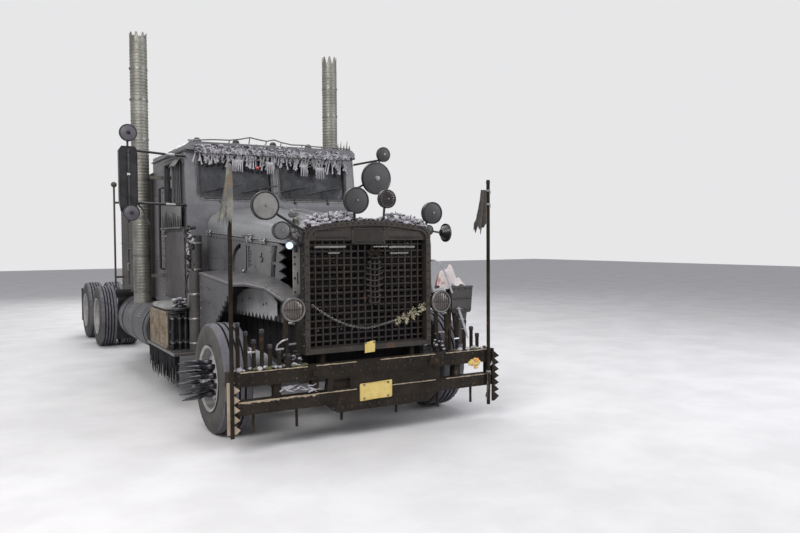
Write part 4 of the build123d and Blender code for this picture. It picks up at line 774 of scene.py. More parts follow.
for y in (1395, 350, 40):
    z = seam_z(y)
    for dz in (-16, 22):
        m.box(HS(y + 48, z + dz - 9, 2), HS(y - 48, z + dz + 9, 22), 4)
    for k in (1, -1):
        m.tube([HS(y + 40 * k, z + 30, 20), HS(y + 52 * k, z + 12, 30), HS(y + 40 * k, z - 22, 22)], 0.006, 8, 4)
    m.tube([HS(y + 48, z + 4, 28), HS(y - 48, z + 4, 28)], 0.008, 8, 4)
build(m.swung(), "hood_side_trim", "chassis", ["hood_side", "side_lit", "bumper", "pipe", "bright"],
      bevel=0.0015)

# Hinge strip and beads along the hood's crown, rolled edges of the lids
for side, sx in SIDES.items():
    m = Mesh()
    m.tube([T(sx * (hood_half(y) + 1.0), y, seam_z(y) + 12) for y in range(-600, 1441, 40)], 0.006, 8, 0)
    for y in range(-570, 1440, 70):
        m.rivet(T(sx * (hood_half(y) + 1.5), y, seam_z(y) + 30), (sx, 0, 0), 0.007, 1)
    handle = [T(sx * (hood_half(420) + o), 420 + dy, seam_z(420) + 36)
              for dy, o in ((-110, 0), (-105, 26), (0, 34), (105, 26), (110, 0))]
    m.tube(handle, 0.009, 8, 1)
    build(m, f"hood_edge_{side}", f"hood_{side}", ["hood", "steel"])

# Fender: rivets and a pale rod along the top's edge, its paleness partly a painted highlight on the lit lip, rivets and
# scored lines behind it
m = Mesh()
# Rows of the fender's top: y, then x and z by the hood, then x and z at the edge
SHELF = ((1140.0, 740.0, 1442.0, 1000.0, 1415.0), (50.0, 640.0, 1428.0, 1000.0, 1345.0),
         (-150.0, 620.0, 1412.0, 945.0, 1358.0), (-425.0, 590.0, 1352.0, 860.0, 1330.0),
         (-640.0, 560.0, 1262.0, 765.0, 1232.0))


def shelf_at(y, f):
    # A point (x, z) on the fender's top, f of the way from the hood to its edge
    for a, b in zip(SHELF, SHELF[1:]):
        if a[0] >= y >= b[0]:
            t = (a[0] - y) / (a[0] - b[0])
            row = [p + (q - p) * t for p, q in zip(a, b)]
            return row[1] + (row[3] - row[1]) * f, row[2] + (row[4] - row[2]) * f
    return (SHELF[-1][3], SHELF[-1][4])


for y in range(-600, 1120, 58):
    x, z = shelf_at(y, 0.93)
    m.rivet(T(-x, y, z + 1.5), UP, 0.008, 0)
# Pale rod on the lip: partly a painted highlight where light catches the edge
m.tube([T(-shelf_at(y, 1.0)[0] + 2, y, shelf_at(y, 1.0)[1] - 2) for y in range(-630, 1131, 40)], 0.006, 8, 1)
for z in range(700, 1380, 85):
    m.rivet(T(-1001, 1105, z), (-1, 0, 0), 0.009, 0)
for y in range(780, 1100, 80):
    m.rivet(T(-1001, y, 1375), (-1, 0, 0), 0.009, 0)
for z in (980, 1120, 1260):
    m.tube([T(-1006, 1120, z), T(-1008, 900, z + 8), T(-1006, 770, z - 4)], 0.005, 6, 2)
build(m.swung(), "fender_trim", "chassis", ["steel", "pale", "fender"])

# Grille: solid band at the top, pale bars, rusty centre piece, beaded edging
def arch_path(half, z0, shoulder, crest, r, n=10):
    # The same wide opening shape as the shell, as a run of (x, z)
    def three(a, b, c, count):
        # Points of the circle through a, b and c
        ax, ay = a
        bx, by = b
        cx, cy = c
        d = 2 * (ax * (by - cy) + bx * (cy - ay) + cx * (ay - by))
        ux = ((ax * ax + ay * ay) * (by - cy) + (bx * bx + by * by) * (cy - ay) + (cx * cx + cy * cy) * (ay - by)) / d
        uy = ((ax * ax + ay * ay) * (cx - bx) + (bx * bx + by * by) * (ax - cx) + (cx * cx + cy * cy) * (bx - ax)) / d
        rr = math.hypot(ax - ux, ay - uy)
        a0 = math.atan2(ay - uy, ax - ux)
        a1 = math.atan2(cy - uy, cx - ux)
        while a1 > a0:
            a1 -= 2 * PI
        if a0 - a1 > PI * 1.5:
            a1 += 2 * PI
        return [(ux + rr * math.cos(a0 + (a1 - a0) * i / count), uy + rr * math.sin(a0 + (a1 - a0) * i / count))
                for i in range(count + 1)]
    b = (-half, shoulder - r * 0.1)
    c = (-half + r, shoulder + r * 0.75)
    mid = (-half + 0.29 * r, shoulder + 0.50 * r)
    d = (half - r, shoulder + r * 0.75)
    e = (half, shoulder - r * 0.1)
    mid2 = (half - 0.29 * r, shoulder + 0.50 * r)
    return ([(-half, z0)] + three(b, mid, c, n) + three(c, (0, crest), d, n * 3)[1:] + three(d, mid2, e, n)[1:]
            + [(half, z0)])


m = Mesh()
band_top = [p for p in arch_path(583, 1740, 1760, 1868, 90) if p[1] >= 1740]
m.plate(band_top, T(0, -766, 0), MM_X, MM_Z, 0.012, 0)
for x0, x1 in ((-540, -200), (185, 540)):
    m.box(T(x0, -782, 1752), T(x1, -766, 1828), 0, 0.006)
    m.box(T(x0 + 20, -787, 1764), T(x1 - 20, -781, 1774), 1, 0.002)
m.box(T(-174, -790, 1700), T(157, -764, 1856), 0, 0.008)
m.box(T(-150, -796, 1722), T(134, -788, 1834), 1, 0.004)
for x, z in ((-160, 1715), (143, 1715), (-160, 1842), (143, 1842)):
    m.bolt(T(x, -790, z), FRONT, 0.009, 0.007, 2)
build(m, "grille_band", "chassis", ["grille", "mesh", "pipe"], bevel=0.002)

m = Mesh()
for x0, x1, z, r in ((-528, -235, 1684, 0.010), (206, 470, 1677, 0.010), (-398, -293, 1631, 0.006),
                     (216, 405, 1622, 0.007), (40, 190, 1683, 0.005)):
    n = max(3, int((x1 - x0) / 22))
    m.tube([T(x0 + (x1 - x0) * i / n, -772, z + rnd.uniform(-1.5, 1.5)) for i in range(n + 1)], r, 8, 0)
    for i in range(n):
        m.ball(T(x0 + (x1 - x0) * (i + 0.5) / n, -778, z - 2), 0.0075, (1.2, 0.8, 1), 6, 0)
build(m, "grille_bars", "chassis", ["bar_pale"])

m = Mesh()
for k in range(3):
    x = 8 + k * 42
    m.tube([T(x + rnd.uniform(-4, 4), -776, 1160 + 50 * i) for i in range(9)], 0.011, 8, 0)
for i in range(9):
    z = 1180 + i * 50
    w = 50 + 34 * math.sin(PI * (i + 0.5) / 9.0)
    m.tube([T(46 - w, -776, z + 16), T(46 - w * 0.5, -786, z + 2), T(46, -790, z - 3), T(46 + w * 0.5, -786, z + 2),
            T(46 + w, -776, z + 16)], 0.008, 8, 0)
for i in range(26):
    a = rnd.uniform(0, 2 * PI)
    d = rnd.uniform(0, 62)
    m.ball(T(52 + d * math.cos(a), -782 + rnd.uniform(-6, 4), 1618 + 0.6 * d * math.sin(a)), rnd.uniform(0.010, 0.020),
           (1, 0.7, 0.8), 8, 1, 0.15, rnd)
build(m, "grille_spine", "chassis", ["mesh", "bumper"])

m = Mesh()
edge = arch_path(636, 790, 1783, 1921, 112, 8)
run = []
for (x0, z0), (x1, z1) in zip(edge, edge[1:]):
    d = math.hypot(x1 - x0, z1 - z0)
    k = max(1, int(d / 24))
    run += [(x0 + (x1 - x0) * i / k, z0 + (z1 - z0) * i / k) for i in range(k)]
travel = 0.0
last = run[0]
side_flip = 0
for x, z in run:
    travel += math.hypot(x - last[0], z - last[1])
    last = (x, z)
    if travel >= 27.0:
        travel = 0.0
        side_flip = 1 - side_flip
        wide = (0.9, 1.5, 0.9) if side_flip else (1.15, 0.7, 1.15)
        m.ball(T(x, -772, z), 0.013, wide, 8, 0)
for x, z in arch_path(607, 800, 1775, 1892, 105, 6):
    m.bolt(T(x, -800, z), FRONT, 0.007, 0.006, 1)
for z in range(830, 1760, 78):
    for sx in (-1, 1):
        m.bolt(T(sx * 607, -800, z), FRONT, 0.007, 0.006, 1)
build(m, "grille_edging", "chassis", ["pipe", "mesh"])

m = Mesh()
m.box(T(-700, -704, 1275), T(-632, -694, 1712), 0, 0.003)
m.box(T(-690, -712, 1640), T(-655, -703, 1690), 1, 0.003)
m.box(T(-664, -708, 1370), T(-654, -703, 1470), 1, 0.001)
for z in (1300, 1420, 1540, 1600):
    m.bolt(T(-683, -704, z), FRONT, 0.007, 0.006, 1)
build(m.swung(), "grille_cheeks", "chassis", ["pale", "pipe"], bevel=0.0015)

# Small blank yellow tag and the blank number plate
m = Mesh()
m.plate([(-52, -44), (50, -50), (54, 46), (20, 52), (-50, 44)], T(-18, -806, 790), (0.001, 0, 0.00012), MM_Z, 0.003)
for x, z in ((-58, 828), (24, 830)):
    m.bolt(T(x, -809, z), FRONT, 0.006, 0.005, 1)
build(m, "tag_plain", "chassis", ["yellow", "steel"], bevel=0.001)
m = Mesh()
plate = [(-162, -68), (-156, -75), (156, -75), (162, -68), (162, 68), (156, 75), (-156, 75), (-162, 68)]
m.plate(plate, T(12, -862, 410), (0.001, 0, 0.00004), MM_Z, 0.003, 0)
rim = [T(12 + x * 0.97, -866, 410 + z * 0.95) for x, z in plate]
m.tube(rim, 0.0022, 6, 0, loop=True)
for x, z in ((-110, 60), (130, 61), (-110, -61), (130, -60)):
    m.bolt(T(x + 2, -866, 410 + z), FRONT, 0.007, 0.005, 1)
build(m, "number_plate_blank", "chassis", ["yellow", "steel"])

# Bumper: tan end plate, pale edges along the rails' tops that are worn and carry a painted highlight, bolts, moss and
# bones along the top
m = Mesh()
left_end = [(-1265, 190), (-1342, 190), (-1342, 612), (-1275, 612)]
for i in range(5):
    left_end += [(-1290, 590 - 80 * i), (-1232, 540 - 80 * i)]
m.plate(left_end[::-1], T(0, -877, 0), MM_X, MM_Z, -0.003, 0)
build(m, "bumper_end_tan", "chassis", ["tan"], bevel=0.001)

m = Mesh()
# Pale tan strips on the rails' top edges: partly wear, partly a painted highlight where light catches the lip
for z in (680, 440):
    for x0, x1 in ((-1225, -640), (-560, -180), (60, 640), (760, 1230)):
        n = int((x1 - x0) / 26)
        pts = [T(x0 + (x1 - x0) * i / n, -859.5, z - 1.5 + rnd.uniform(-1.5, 1.0)) for i in range(n + 1)]
        radii = [0.0035 + 0.004 * rnd.random() ** 2 for _ in pts]
        m.tube(pts, radii, 6, 0)
build(m, "bumper_edges_worn_and_highlit", "chassis", ["tan"])

m = Mesh()
for x in range(-1240, 1290, 115):
    for z in (652, 592, 412, 356):
        if -470 < x < 700 and z < 640:
            continue
        m.bolt(T(x, -860, z), FRONT, 0.010, 0.008, 0)
for x in range(-410, 680, 90):
    for z in (600, 290):
        if z == 290 and x > 520:
            continue
        m.bolt(T(x, -856, z), FRONT, 0.011, 0.008, 0)
UPRIGHTS = ((-1225, 1075), (-1160, 1000), (-1090, 930), (-1020, 1010), (-950, 880), (-870, 830), (-790, 790),
            (840, 1110), (925, 1040), (1010, 970), (1160, 830), (1090, 900))
for x, z in UPRIGHTS:
    m.lathe(T(x, -800, z), UP, [(-0.030, 0.0), (-0.030, 0.021), (-0.004, 0.0215), (0.004, 0.018), (0.006, 0.010),
                                (0.002, 0.0)], 14, 1)
    m.lathe(T(x, -800, 680), UP, [(0.0, 0.030), (0.012, 0.029), (0.016, 0.020), (0.016, 0.0)], 14, 0)
for x0, x1, z in ((-1150, -1085, 832), (-905, -838, 838), (870, 930, 800)):
    m.tube([T(x0, -822, z), T(x1, -822, z + 4)], 0.009, 8, 2)
m.tube([T(-905, -820, 838), T(-890, -822, 880), T(-850, -822, 905), T(-800, -820, 920)], 0.007, 8, 2)
for x, z in ((-1300, 2340), (1240, 2310)):
    m.lathe(T(x, -876, z - 30), UP, [(0, 0.0), (0, 0.020), (0.012, 0.021), (0.016, 0.012), (0.026, 0.010),
                                     (0.0299, 0.0)], 12, 1)
build(m, "bumper_fittings", "chassis", ["mesh", "pipe", "bright"])

m = Mesh()
for x0, x1, n in ((-1240, -620, 46), (860, 1270, 22)):
    for _ in range(n):
        x = rnd.uniform(x0, x1)
        y = rnd.uniform(-848, -764)
        r = rnd.uniform(0.009, 0.026)
        kind = rnd.random()
        if kind < 0.45:
            m.ball(T(x, y, 680 + r * 600), r, (1.3, 1.0, 0.75), 8, 0, 0.3, rnd)
        elif kind < 0.8:
            m.ball(T(x, y, 680 + r * 700), r, (1, 1, 0.85), 8, 1, 0.12, rnd)
        else:
            a = rnd.uniform(0, PI)
            dx, dy = 42 * math.cos(a), 18 * math.sin(a)
            m.tube([T(x - dx, y - dy, 690), T(x, y, 700), T(x + dx, y + dy, 692)], [0.009, 0.005, 0.009], 7, 1)
M["moss"] = surface("moss_brown_green", (0.055, 0.062, 0.022), (0.10, 0.105, 0.045), rough=(0.8, 0.95), scale=22.0,
                    grain=190.0, bump=0.8, offset=111.0)
build(m, "bumper_litter", "chassis", ["moss", "bone"])

# Round spot mirrors and lamps: domed faces, rims, centre studs
SPOTS = ((-970.0, 2030.0, 116.0, "pale"), (-830.0, 1825.0, 75.0, "hood_side"), (-130.0, 2090.0, 115.0, "plastic"),
         (180.0, 2110.0, 82.0, "lens"), (660.0, 1990.0, 100.0, "plastic"))
for i, (x, z, r, key) in enumerate(SPOTS):
    m = Mesh()
    q = r / 1000.0
    m.lathe(T(x, -790, z), FRONT, [(-0.004, q * 1.0), (0.006, q * 1.035), (0.012, q * 1.02), (0.013, q * 0.95),
                                   (0.007, q * 0.93), (0.007, q * 0.90)], 40, 1)
    m.lathe(T(x, -790, z), FRONT, [(0.007, q * 0.92), (0.013, q * 0.7), (0.017, q * 0.4), (0.019, q * 0.12),
                                   (0.019, 0.0)], 40, 0)
    m.lathe(T(x, -790, z), FRONT, [(0.018, q * 0.10), (0.026, q * 0.09), (0.028, 0.0)], 12, 2)
    m.lathe(T(x, -790, z), BACK, [(0.02, q * 1.004), (0.03, q * 1.02), (0.04, q * 1.004)], 40, 1)
    if key == "lens":
        for k in range(-4, 5):
            h = q * 0.9 * math.sqrt(max(0.0, 1 - (k / 5.0) ** 2))
            g = k * q / 5.5
            for y, a, b in ((-812, (g, 0, -h), (g, 0, h)), (-814, (-h, 0, g), (h, 0, g))):
                m.tube([T(x, y, z) + Vector(a), T(x, y, z) + Vector(b)], 0.0028, 5, 1)
    build(m, f"spot_face_{i}", "chassis", [key, "pipe", "steel"], angle=50)

# Headlamps: ring, rusty lens, wire guard, drum bands, and the brackets under them
LAMP_X, LAMP_Z = 740, 1160
for side, sx in (("right", -1), ("left", 1)):
    m = Mesh()
    c = T(sx * LAMP_X, -800, LAMP_Z)
    m.lathe(c, FRONT, [(-0.012, 0.0965), (-0.004, 0.104), (0.014, 0.106), (0.022, 0.101), (0.020, 0.088),
                       (0.008, 0.084)], 48, 0)
    m.lathe(c, FRONT, [(0.008, 0.086), (0.018, 0.070), (0.028, 0.040), (0.031, 0.0)], 40, 1)
    for k in range(-3, 4):
        h = 0.084 * math.sqrt(1 - (k / 4.2) ** 2)
        m.tube([c + Vector((k * 0.022, -0.028, -h)), c + Vector((k * 0.022, -0.036, 0)),
                c + Vector((k * 0.022, -0.028, h))], 0.0026, 5, 2)
    m.tube([c + Vector((-0.09, -0.026, 0)), c + Vector((0, -0.040, 0.004)), c + Vector((0.09, -0.026, 0))], 0.003, 5, 2)
    m.ball(T(sx * (LAMP_X + 38), -822, 1052), 0.013, (1.4, 0.8, 1), 10, 0)
    m.lathe(T(sx * LAMP_X, -770, LAMP_Z), BACK, [(0, 0.0975), (0.008, 0.101), (0.016, 0.0975)], 40, 2)
    m.tube([T(sx * (LAMP_X + 62), -792, 1090), T(sx * (LAMP_X + 70), -796, 960), T(sx * (LAMP_X + 62), -800, 860),
            T(sx * (LAMP_X + 66), -802, 690)], [0.020, 0.026, 0.017, 0.014], 10, 3)
    m.tube([T(sx * (LAMP_X - 40), -780, 1080), T(sx * (LAMP_X - 46), -786, 940), T(sx * (LAMP_X - 40), -792, 840),
            T(sx * (LAMP_X - 44), -796, 684)], [0.018, 0.023, 0.018, 0.014], 10, 3)
    m.tube([T(sx * (LAMP_X + 64), -796, 868), T(sx * (LAMP_X - 40), -790, 872)], 0.010, 8, 0)
    for k in range(26):
        m.ball(T(sx * (LAMP_X + rnd.uniform(-70, 84)), -792 + rnd.uniform(-16, 16), 690 + rnd.uniform(0, 120)),
               rnd.uniform(0.008, 0.017), (1.4, 0.8, 0.7), 7, 4 if k % 3 else 5, 0.2, rnd)
    build(m, f"headlamp_{side}_face", "chassis", ["steel", "lens", "pipe", "bumper", "mesh", "bone"])

# Windshield: rubber seal, steel trim, wipers
def screen_y(z):
    # Where the leaning pane stands at height z
    return 1500.0 + max(0.0, z - 2140.0) * 85.0 / 600.0


def rounded(x0, x1, z0, z1, r, n=6):
    # An outline with rounded corners
    pts = []
    for cx, cz, a0 in ((x1 - r, z1 - r, 0), (x0 + r, z1 - r, 90), (x0 + r, z0 + r, 180), (x1 - r, z0 + r, 270)):
        pts += arc_points(cx, cz, r, a0, a0 + 90, n)
    return pts


m = Mesh()
for sx in (-1, 1):
    loop = [(sx * x, z) for x, z in rounded(42, 893, 2212, 2658, 72)]
    m.tube([T(x, screen_y(z) + 2, z) for x, z in loop], 0.016, 8, 0, loop=True)
    loop = [(sx * x, z) for x, z in rounded(24, 911, 2194, 2676, 86)]
    m.tube([T(x, screen_y(z) - 3, z) for x, z in loop], 0.006, 6, 1, loop=True)
for sx, px in ((-1, -650), (-1, -230), (1, 230), (1, 650)):
    p = (px, screen_y(2178) - 11, 2176)
    q = (px - 40 if px > 0 else px + 40, screen_y(2330) - 20, 2330)
    m.lathe(T(px, screen_y(2176) - 4, 2176), FRONT, [(-0.01, 0.017), (0.006, 0.016), (0.010, 0.010), (0.011, 0.0)],
            12, 2)
    m.tube([T(*p), T((p[0] + q[0]) / 2, p[1] - 1, (p[2] + q[2]) / 2), T(*q)], 0.006, 8, 2)
    blade = [T(q[0] + d, screen_y(2330 + abs(d) * 0.22) - 14, 2330 + d * 0.22) for d in (-210, -100, 0, 100, 210)]
    m.tube(blade, 0.006, 6, 0)
    m.tube([T(q[0] - 90, q[1] + 2, 2312), T(*q), T(q[0] + 90, q[1] + 2, 2350)], 0.005, 6, 2)
build(m, "windshield_trim", "chassis", ["plastic", "steel", "pipe"])

# Roof: wavy rail, marker lamps, corner spikes
m = Mesh()
rail = [(-1005, 2836), (-860, 2846), (-708, 2858), (-540, 2862), (-420, 2880), (-308, 2906), (-210, 2888), (-110, 2876),
        (-20, 2896), (70, 2872), (200, 2852), (330, 2856), (470, 2848), (590, 2846), (760, 2850), (950, 2838)]
m.tube([T(x, 1508, z) for x, z in rail], 0.008, 8, 0)
for i in range(1, len(rail), 2):
    x, z = rail[i]
    m.tube([T(x, 1508, z), T(x, 1540, 2836)], 0.006, 6, 0)
for x, h in ((840, 2930), (880, 2900), (920, 2945), (800, 2905), (955, 2890)):
    m.tube([T(x, 1540, 2820), T(x + 2, 1538, 2860), T(x + 5, 1534, h)], [0.012, 0.010, 0.002], 8, 0)
for x in (-880, -440, 0, 440, 800):
    m.lathe(T(x, 1600, 2828), UP, [(0, 0.050), (0.012, 0.049), (0.014, 0.040)], 24, 2)
    m.lathe(T(x, 1600, 2828), UP, [(0.012, 0.040), (0.036, 0.036), (0.052, 0.020), (0.056, 0.0)], 24, 1)
for y in range(1600, 3160, 90):
    for sx in (-1, 1):
        m.rivet(T(sx * 1021, y, 2765), (sx, 0, 0), 0.009, 2)
for x in range(-960, 1000, 96):
    m.rivet(T(x, 1519, 2790), FRONT, 0.009, 2)
build(m, "roof_fittings", "chassis", ["steel", "pipe", "cab_pale"])

# Curtain of bone-like sticks, combs and loose strands under the visor
m = Mesh()


def bone(p, q, r):
    p, q = Vector(p), Vector(q)
    d = q - p
    m.tube([p, p + d * 0.12, p + d * 0.5, p + d * 0.88, q], [r * 1.3, r * 0.9, r * 0.75, r * 0.9, r * 1.3], 7, 0)
    side = d.orthogonal().normalized() * r * 0.9
    for e in (p, q):
        m.ball(e + side, r * 1.15, (1, 1, 1), 7, 0)
        m.ball(e - side, r * 1.15, (1, 1, 1), 7, 0)


for i in range(92):
    x = -915 + 1830 * (i + rnd.uniform(0.0, 1.0)) / 92.0
    y = 1519 + rnd.uniform(-3, 8)
    top = 2705 + rnd.uniform(-14, 30)
    long = rnd.uniform(55, 150) * (1.15 if x > -300 else 0.9)
    lean = rnd.uniform(-48, 48)
    bone(T(x, y, top), T(x + lean, y + rnd.uniform(-4, 4), top - long), rnd.uniform(0.007, 0.0115))
for x0, z1, w, teeth in ((-520, 2652, 130, 6), (488, 2604, 116, 5), (-120, 2640, 90, 4), (300, 2630, 90, 4)):
    m.box(T(x0, 1497, z1 - 42), T(x0 + w, 1505, z1), 0, 0.003)
    for k in range(teeth):
        x = x0 + w * (k + 0.5) / teeth
        m.tube([T(x, 1501, z1 - 40), T(x + rnd.uniform(-4, 4), 1499, z1 - 128 - rnd.uniform(0, 14))], [0.0085, 0.004],
               7, 0)
for i in range(70):
    x = rnd.uniform(-900, 900)
    z = 2700 + rnd.uniform(-60, 40)
    w = rnd.uniform(40, 120)
    m.tube([T(x, 1498, z), T(x + w * 0.5, 1496 + rnd.uniform(-2, 6), z - rnd.uniform(20, 60)),
            T(x + w, 1498, z + rnd.uniform(-20, 20))], 0.0032, 5, 1)
m.lathe(T(-225, 1512, 2566), FRONT, [(0, 0.024), (0.012, 0.025), (0.014, 0.020)], 16, 2)
m.lathe(T(-225, 1512, 2566), FRONT, [(0.012, 0.021), (0.022, 0.014), (0.025, 0.0)], 16, 3)
m.tube([T(-225, 1514, 2586), T(-225, 1516, 2740)], 0.005, 6, 2)
build(m, "visor_curtain", "chassis", ["bone", "sack", "pipe", "red"], angle=60)

# Doors: dented plate, spikes on the ledge, window bars, trim, handle
for side, sx in SIDES.items():
    m = Mesh()
    cols, rows = 34, 26
    grid = []
    for i in range(rows + 1):
        row = []
        for j in range(cols + 1):
            y = 1628 + (2572 - 1628) * j / cols
            z = 1104 + (1862 - 1104) * i / rows
            edge = min(j, cols - j, i * 1.2, (rows - i) * 1.2)
            soft = min(1.0, edge / 2.0)
            d = 5.0 * math.sin(y / 61.0 + 1.7 * math.sin(z / 93.0)) * math.sin(z / 77.0 + 0.6 * math.sin(y / 47.0))
            d += 3.2 * math.sin(y / 23.0 + z / 31.0) * math.sin(z / 19.0)
            row.append(T(sx * (1021.5 + 4.0 + soft * (2.0 + abs(d))), y, z))
        grid.append(row)
    m.sheet(grid if sx < 0 else [list(reversed(r)) for r in grid], 0, 0.003)
    for j in range(10):
        y = 1640 + j * 102
        for z in (1116, 1850):
            m.bolt(T(sx * 1028, y, z), (sx, 0, 0), 0.008, 0.006, 1)
    for z in range(1180, 1850, 95):
        for y in (1638, 2562):
            m.bolt(T(sx * 1028, y, z), (sx, 0, 0), 0.008, 0.006, 1)
    for k in range(9):
        y = 1650 + k * 104 + rnd.uniform(-14, 14)
        h = rnd.uniform(120, 200)
        w = rnd.uniform(30, 44)
        lean = rnd.uniform(-20, 20)
        tri = [(y - w, 1896), (y + w, 1896), (y + lean, 1896 + h)]
        a, b, c = [T(sx * 1066, *p) for p in tri]
        t = Vector((sx * 0.004, 0, 0))
        m.add([a, b, c, a + t, b + t, c + t], [(0, 2, 1), (3, 4, 5), (0, 1, 4, 3), (1, 2, 5, 4), (2, 0, 3, 5)], 2)
    m.tube([T(sx * 1073, 1622, 1890), T(sx * 1074, 2100, 1892), T(sx * 1073, 2578, 1890)], 0.008, 8, 5)
    m.slab(sx, (1057, 1060), (1624, 2576), (1902, 2152), 5, 0.001)
    loop = rounded(1684, 2526, 2174, 2646, 54)
    m.tube([T(sx * 1021, y, z) for y, z in loop], 0.011, 8, 4, loop=True)
    for y in (1760, 1835, 1910, 1985, 2060):
        m.tube([T(sx * 1030, y, 2168), T(sx * 1034, y, 2400), T(sx * 1030, y, 2650)], 0.008, 8, 1)
    m.tube([T(sx * 1032, 2075, 2160), T(sx * 1036, 2075, 2660)], 0.016, 8, 1)
    awning = [[T(sx * (1024 + 62 * f), y, 2652 - 70 * f * f - 8 * math.sin(y / 40.0)) for f in (0, 0.33, 0.66, 1.0)]
              for y in range(1700, 2070, 24)]
    m.sheet(awning, 5, 0.003)
    m.box(T(sx * 1012, 2470, 1830), T(sx * 1040, 2560, 1852), 3, 0.003)
    m.tube([T(sx * 1024, 2440, 1800), T(sx * 1062, 2450, 1800), T(sx * 1062, 2545, 1800), T(sx * 1024, 2555, 1800)],
           0.010, 8, 3)
    m.lathe(T(sx * 1018, 2500, 1758), (sx, 0, 0), [(0, 0.016), (0.010, 0.015), (0.012, 0.006), (0.009, 0.0)], 16, 3)
    build(m, f"door_{side}_dress", f"door_{side}", ["door", "cab", "pipe", "steel", "plastic", "side_lit"])

# Grab rails, cab seams and drip rail
m = Mesh()
m.tube([T(-1018, 2640, 1400), T(-1062, 2640, 1410), T(-1066, 2640, 1900), T(-1062, 2640, 2380), T(-1018, 2640, 2390)],
       0.014, 10, 0)
m.tube([T(-1022, 1530, 2738), T(-1034, 1560, 2734), T(-1034, 2300, 2736), T(-1034, 3170, 2734)], 0.010, 8, 1)
for z in range(1060, 2720, 85):
    for y in (2700, 3150):
        m.rivet(T(-1021, y, z), (-1, 0, 0), 0.009, 1)
m.box(T(-1028, 2800, 1500), T(-1019, 3080, 2300), 1, 0.004)
for z in (1540, 2240):
    m.box(T(-1034, 2830, z), T(-1027, 3050, z + 20), 2, 0.003)
build(m.swung(), "cab_side_trim", "chassis", ["pipe", "cab", "pipe"], bevel=0.002)

# Exhaust stacks: clamps, ribs, wraps, and a soot-black mouth
STACK_X, STACK_Y = 1260, 2750
m = Mesh()
CLAMPS = (1120, 1560, 2020, 2480, 2960, 3430, 3800)
for z in CLAMPS:
    m.lathe(T(-STACK_X, STACK_Y, z), UP, [(-0.002, 0.1005), (-0.002, 0.106), (0.026, 0.106), (0.026, 0.1005)], 36, 1)
    m.box(T(-1372, 2738, z + 2), T(-1352, 2762, z + 24), 2, 0.003)
    m.bolt(T(-1362, 2737, z + 13), FRONT, 0.007, 0.008, 2)
for z in range(1020, 4060, 38):
    if all(abs(z - c - 12) > 26 for c in CLAMPS):
        m.lathe(T(-STACK_X, STACK_Y, z), UP, [(0, 0.1002), (0.004, 0.1022 + rnd.uniform(0, 0.0012)), (0.014, 0.1026),
                                        (0.018, 0.1002)], 36, 0)
m.lathe(T(-STACK_X, STACK_Y, 3560), UP, [(0.0, 0.0), (0.0, 0.088), (0.30, 0.0895), (0.55, 0.0898)], 30, 3)
build(m.swung(), "stack_fittings", "chassis", ["stack", "steel", "pipe", "plastic"])

# Mirrors: right head with its rim, clamps and stays; round faces
m = Mesh()
HEAD = [(-1720, 2690), (-1690, 2730), (-1560, 2730), (-1530, 2690), (-1530, 2160), (-1560, 2050), (-1600, 1990),
        (-1660, 1990), (-1700, 2060), (-1720, 2160)]
m.tube([T(min(-1536, max(-1713, x)), 1508, z) for x, z in HEAD], 0.006, 8, 0, loop=True)
inset = [(-1625 + (x + 1625) * 0.86, 2360 + (z - 2360) * 0.95) for x, z in HEAD]
m.plate(inset, T(0, 1561, 0), MM_X, MM_Z, -0.003, 1)
m.plate(inset, T(0, 1510, 0), MM_X, MM_Z, 0.005, 0)
m.tube([T(-1625, 1500, 2700), T(-1627, 1496, 2400), T(-1624, 1500, 2060)], 0.013, 8, 0)
m.lathe(T(-1627, 1494, 2440), FRONT, [(-0.004, 0.0), (-0.004, 0.018), (0.008, 0.016), (0.013, 0.0)], 16, 2)
for z in (2660, 2200):
    m.box(T(-1646, 1486, z), T(-1604, 1512, z + 20), 0, 0.004)
m.tube([T(-1540, 1535, 2150), T(-1480, 1540, 2080), T(-1411, 1548, 1915)], 0.010, 8, 0)
for x, z, r in ((-1625, 2870, 0.090), (-1610, 2040, 0.085)):
    y = 1480 if z > 2500 else 1460
    m.lathe(T(x, y, z), FRONT, [(-0.010, r * 0.985), (0.0, r * 1.0), (0.008, r * 0.99), (0.009, r * 0.9),
                                (0.005, r * 0.86)], 32, 0)
    m.lathe(T(x, y, z), FRONT, [(0.005, r * 0.88), (0.013, r * 0.6), (0.018, r * 0.25), (0.019, 0.0)], 32, 3)
    m.lathe(T(x, y, z), FRONT, [(0.016, r * 0.24), (0.026, r * 0.2), (0.028, 0.0)], 12, 0)
for z0, z1 in ((2665, 2672), (2134, 2136)):
    m.tube([T(-1140, 1548, z0), T(-1240, 1542, z1)], 0.019, 8, 2)
build(m, "mirror_right_dress", "chassis", ["pipe", "mirror", "bright", "plum"], bevel=0.001)

m = Mesh()
for x, y, z, r in ((1290, 1460, 2500, 0.200), (1400, 1480, 2800, 0.092), (1450, 520, 1850, 0.060)):
    m.lathe(T(x, y, z), FRONT, [(-0.010, r * 1.0), (0.002, r * 1.01), (0.010, r * 0.99), (0.011, r * 0.93),
                                (0.006, r * 0.90)], 40, 0)
    m.lathe(T(x, y, z), FRONT, [(0.006, r * 0.92), (0.016, r * 0.6), (0.022, r * 0.25), (0.023, 0.0)], 40, 1)
    m.lathe(T(x, y, z), FRONT, [(0.020, r * 0.18), (0.030, r * 0.15), (0.032, 0.0)], 12, 2)
m.lathe(T(1712, 560, 1820), (-1, 0, 0), [(0.0, 0.0), (0.004, 0.06), (0.0, 0.099), (-0.004, 0.104), (0.004, 0.108),
                                         (0.016, 0.106)], 32, 0)
build(m, "mirrors_left_dress", "chassis", ["pipe", "plastic", "steel"])

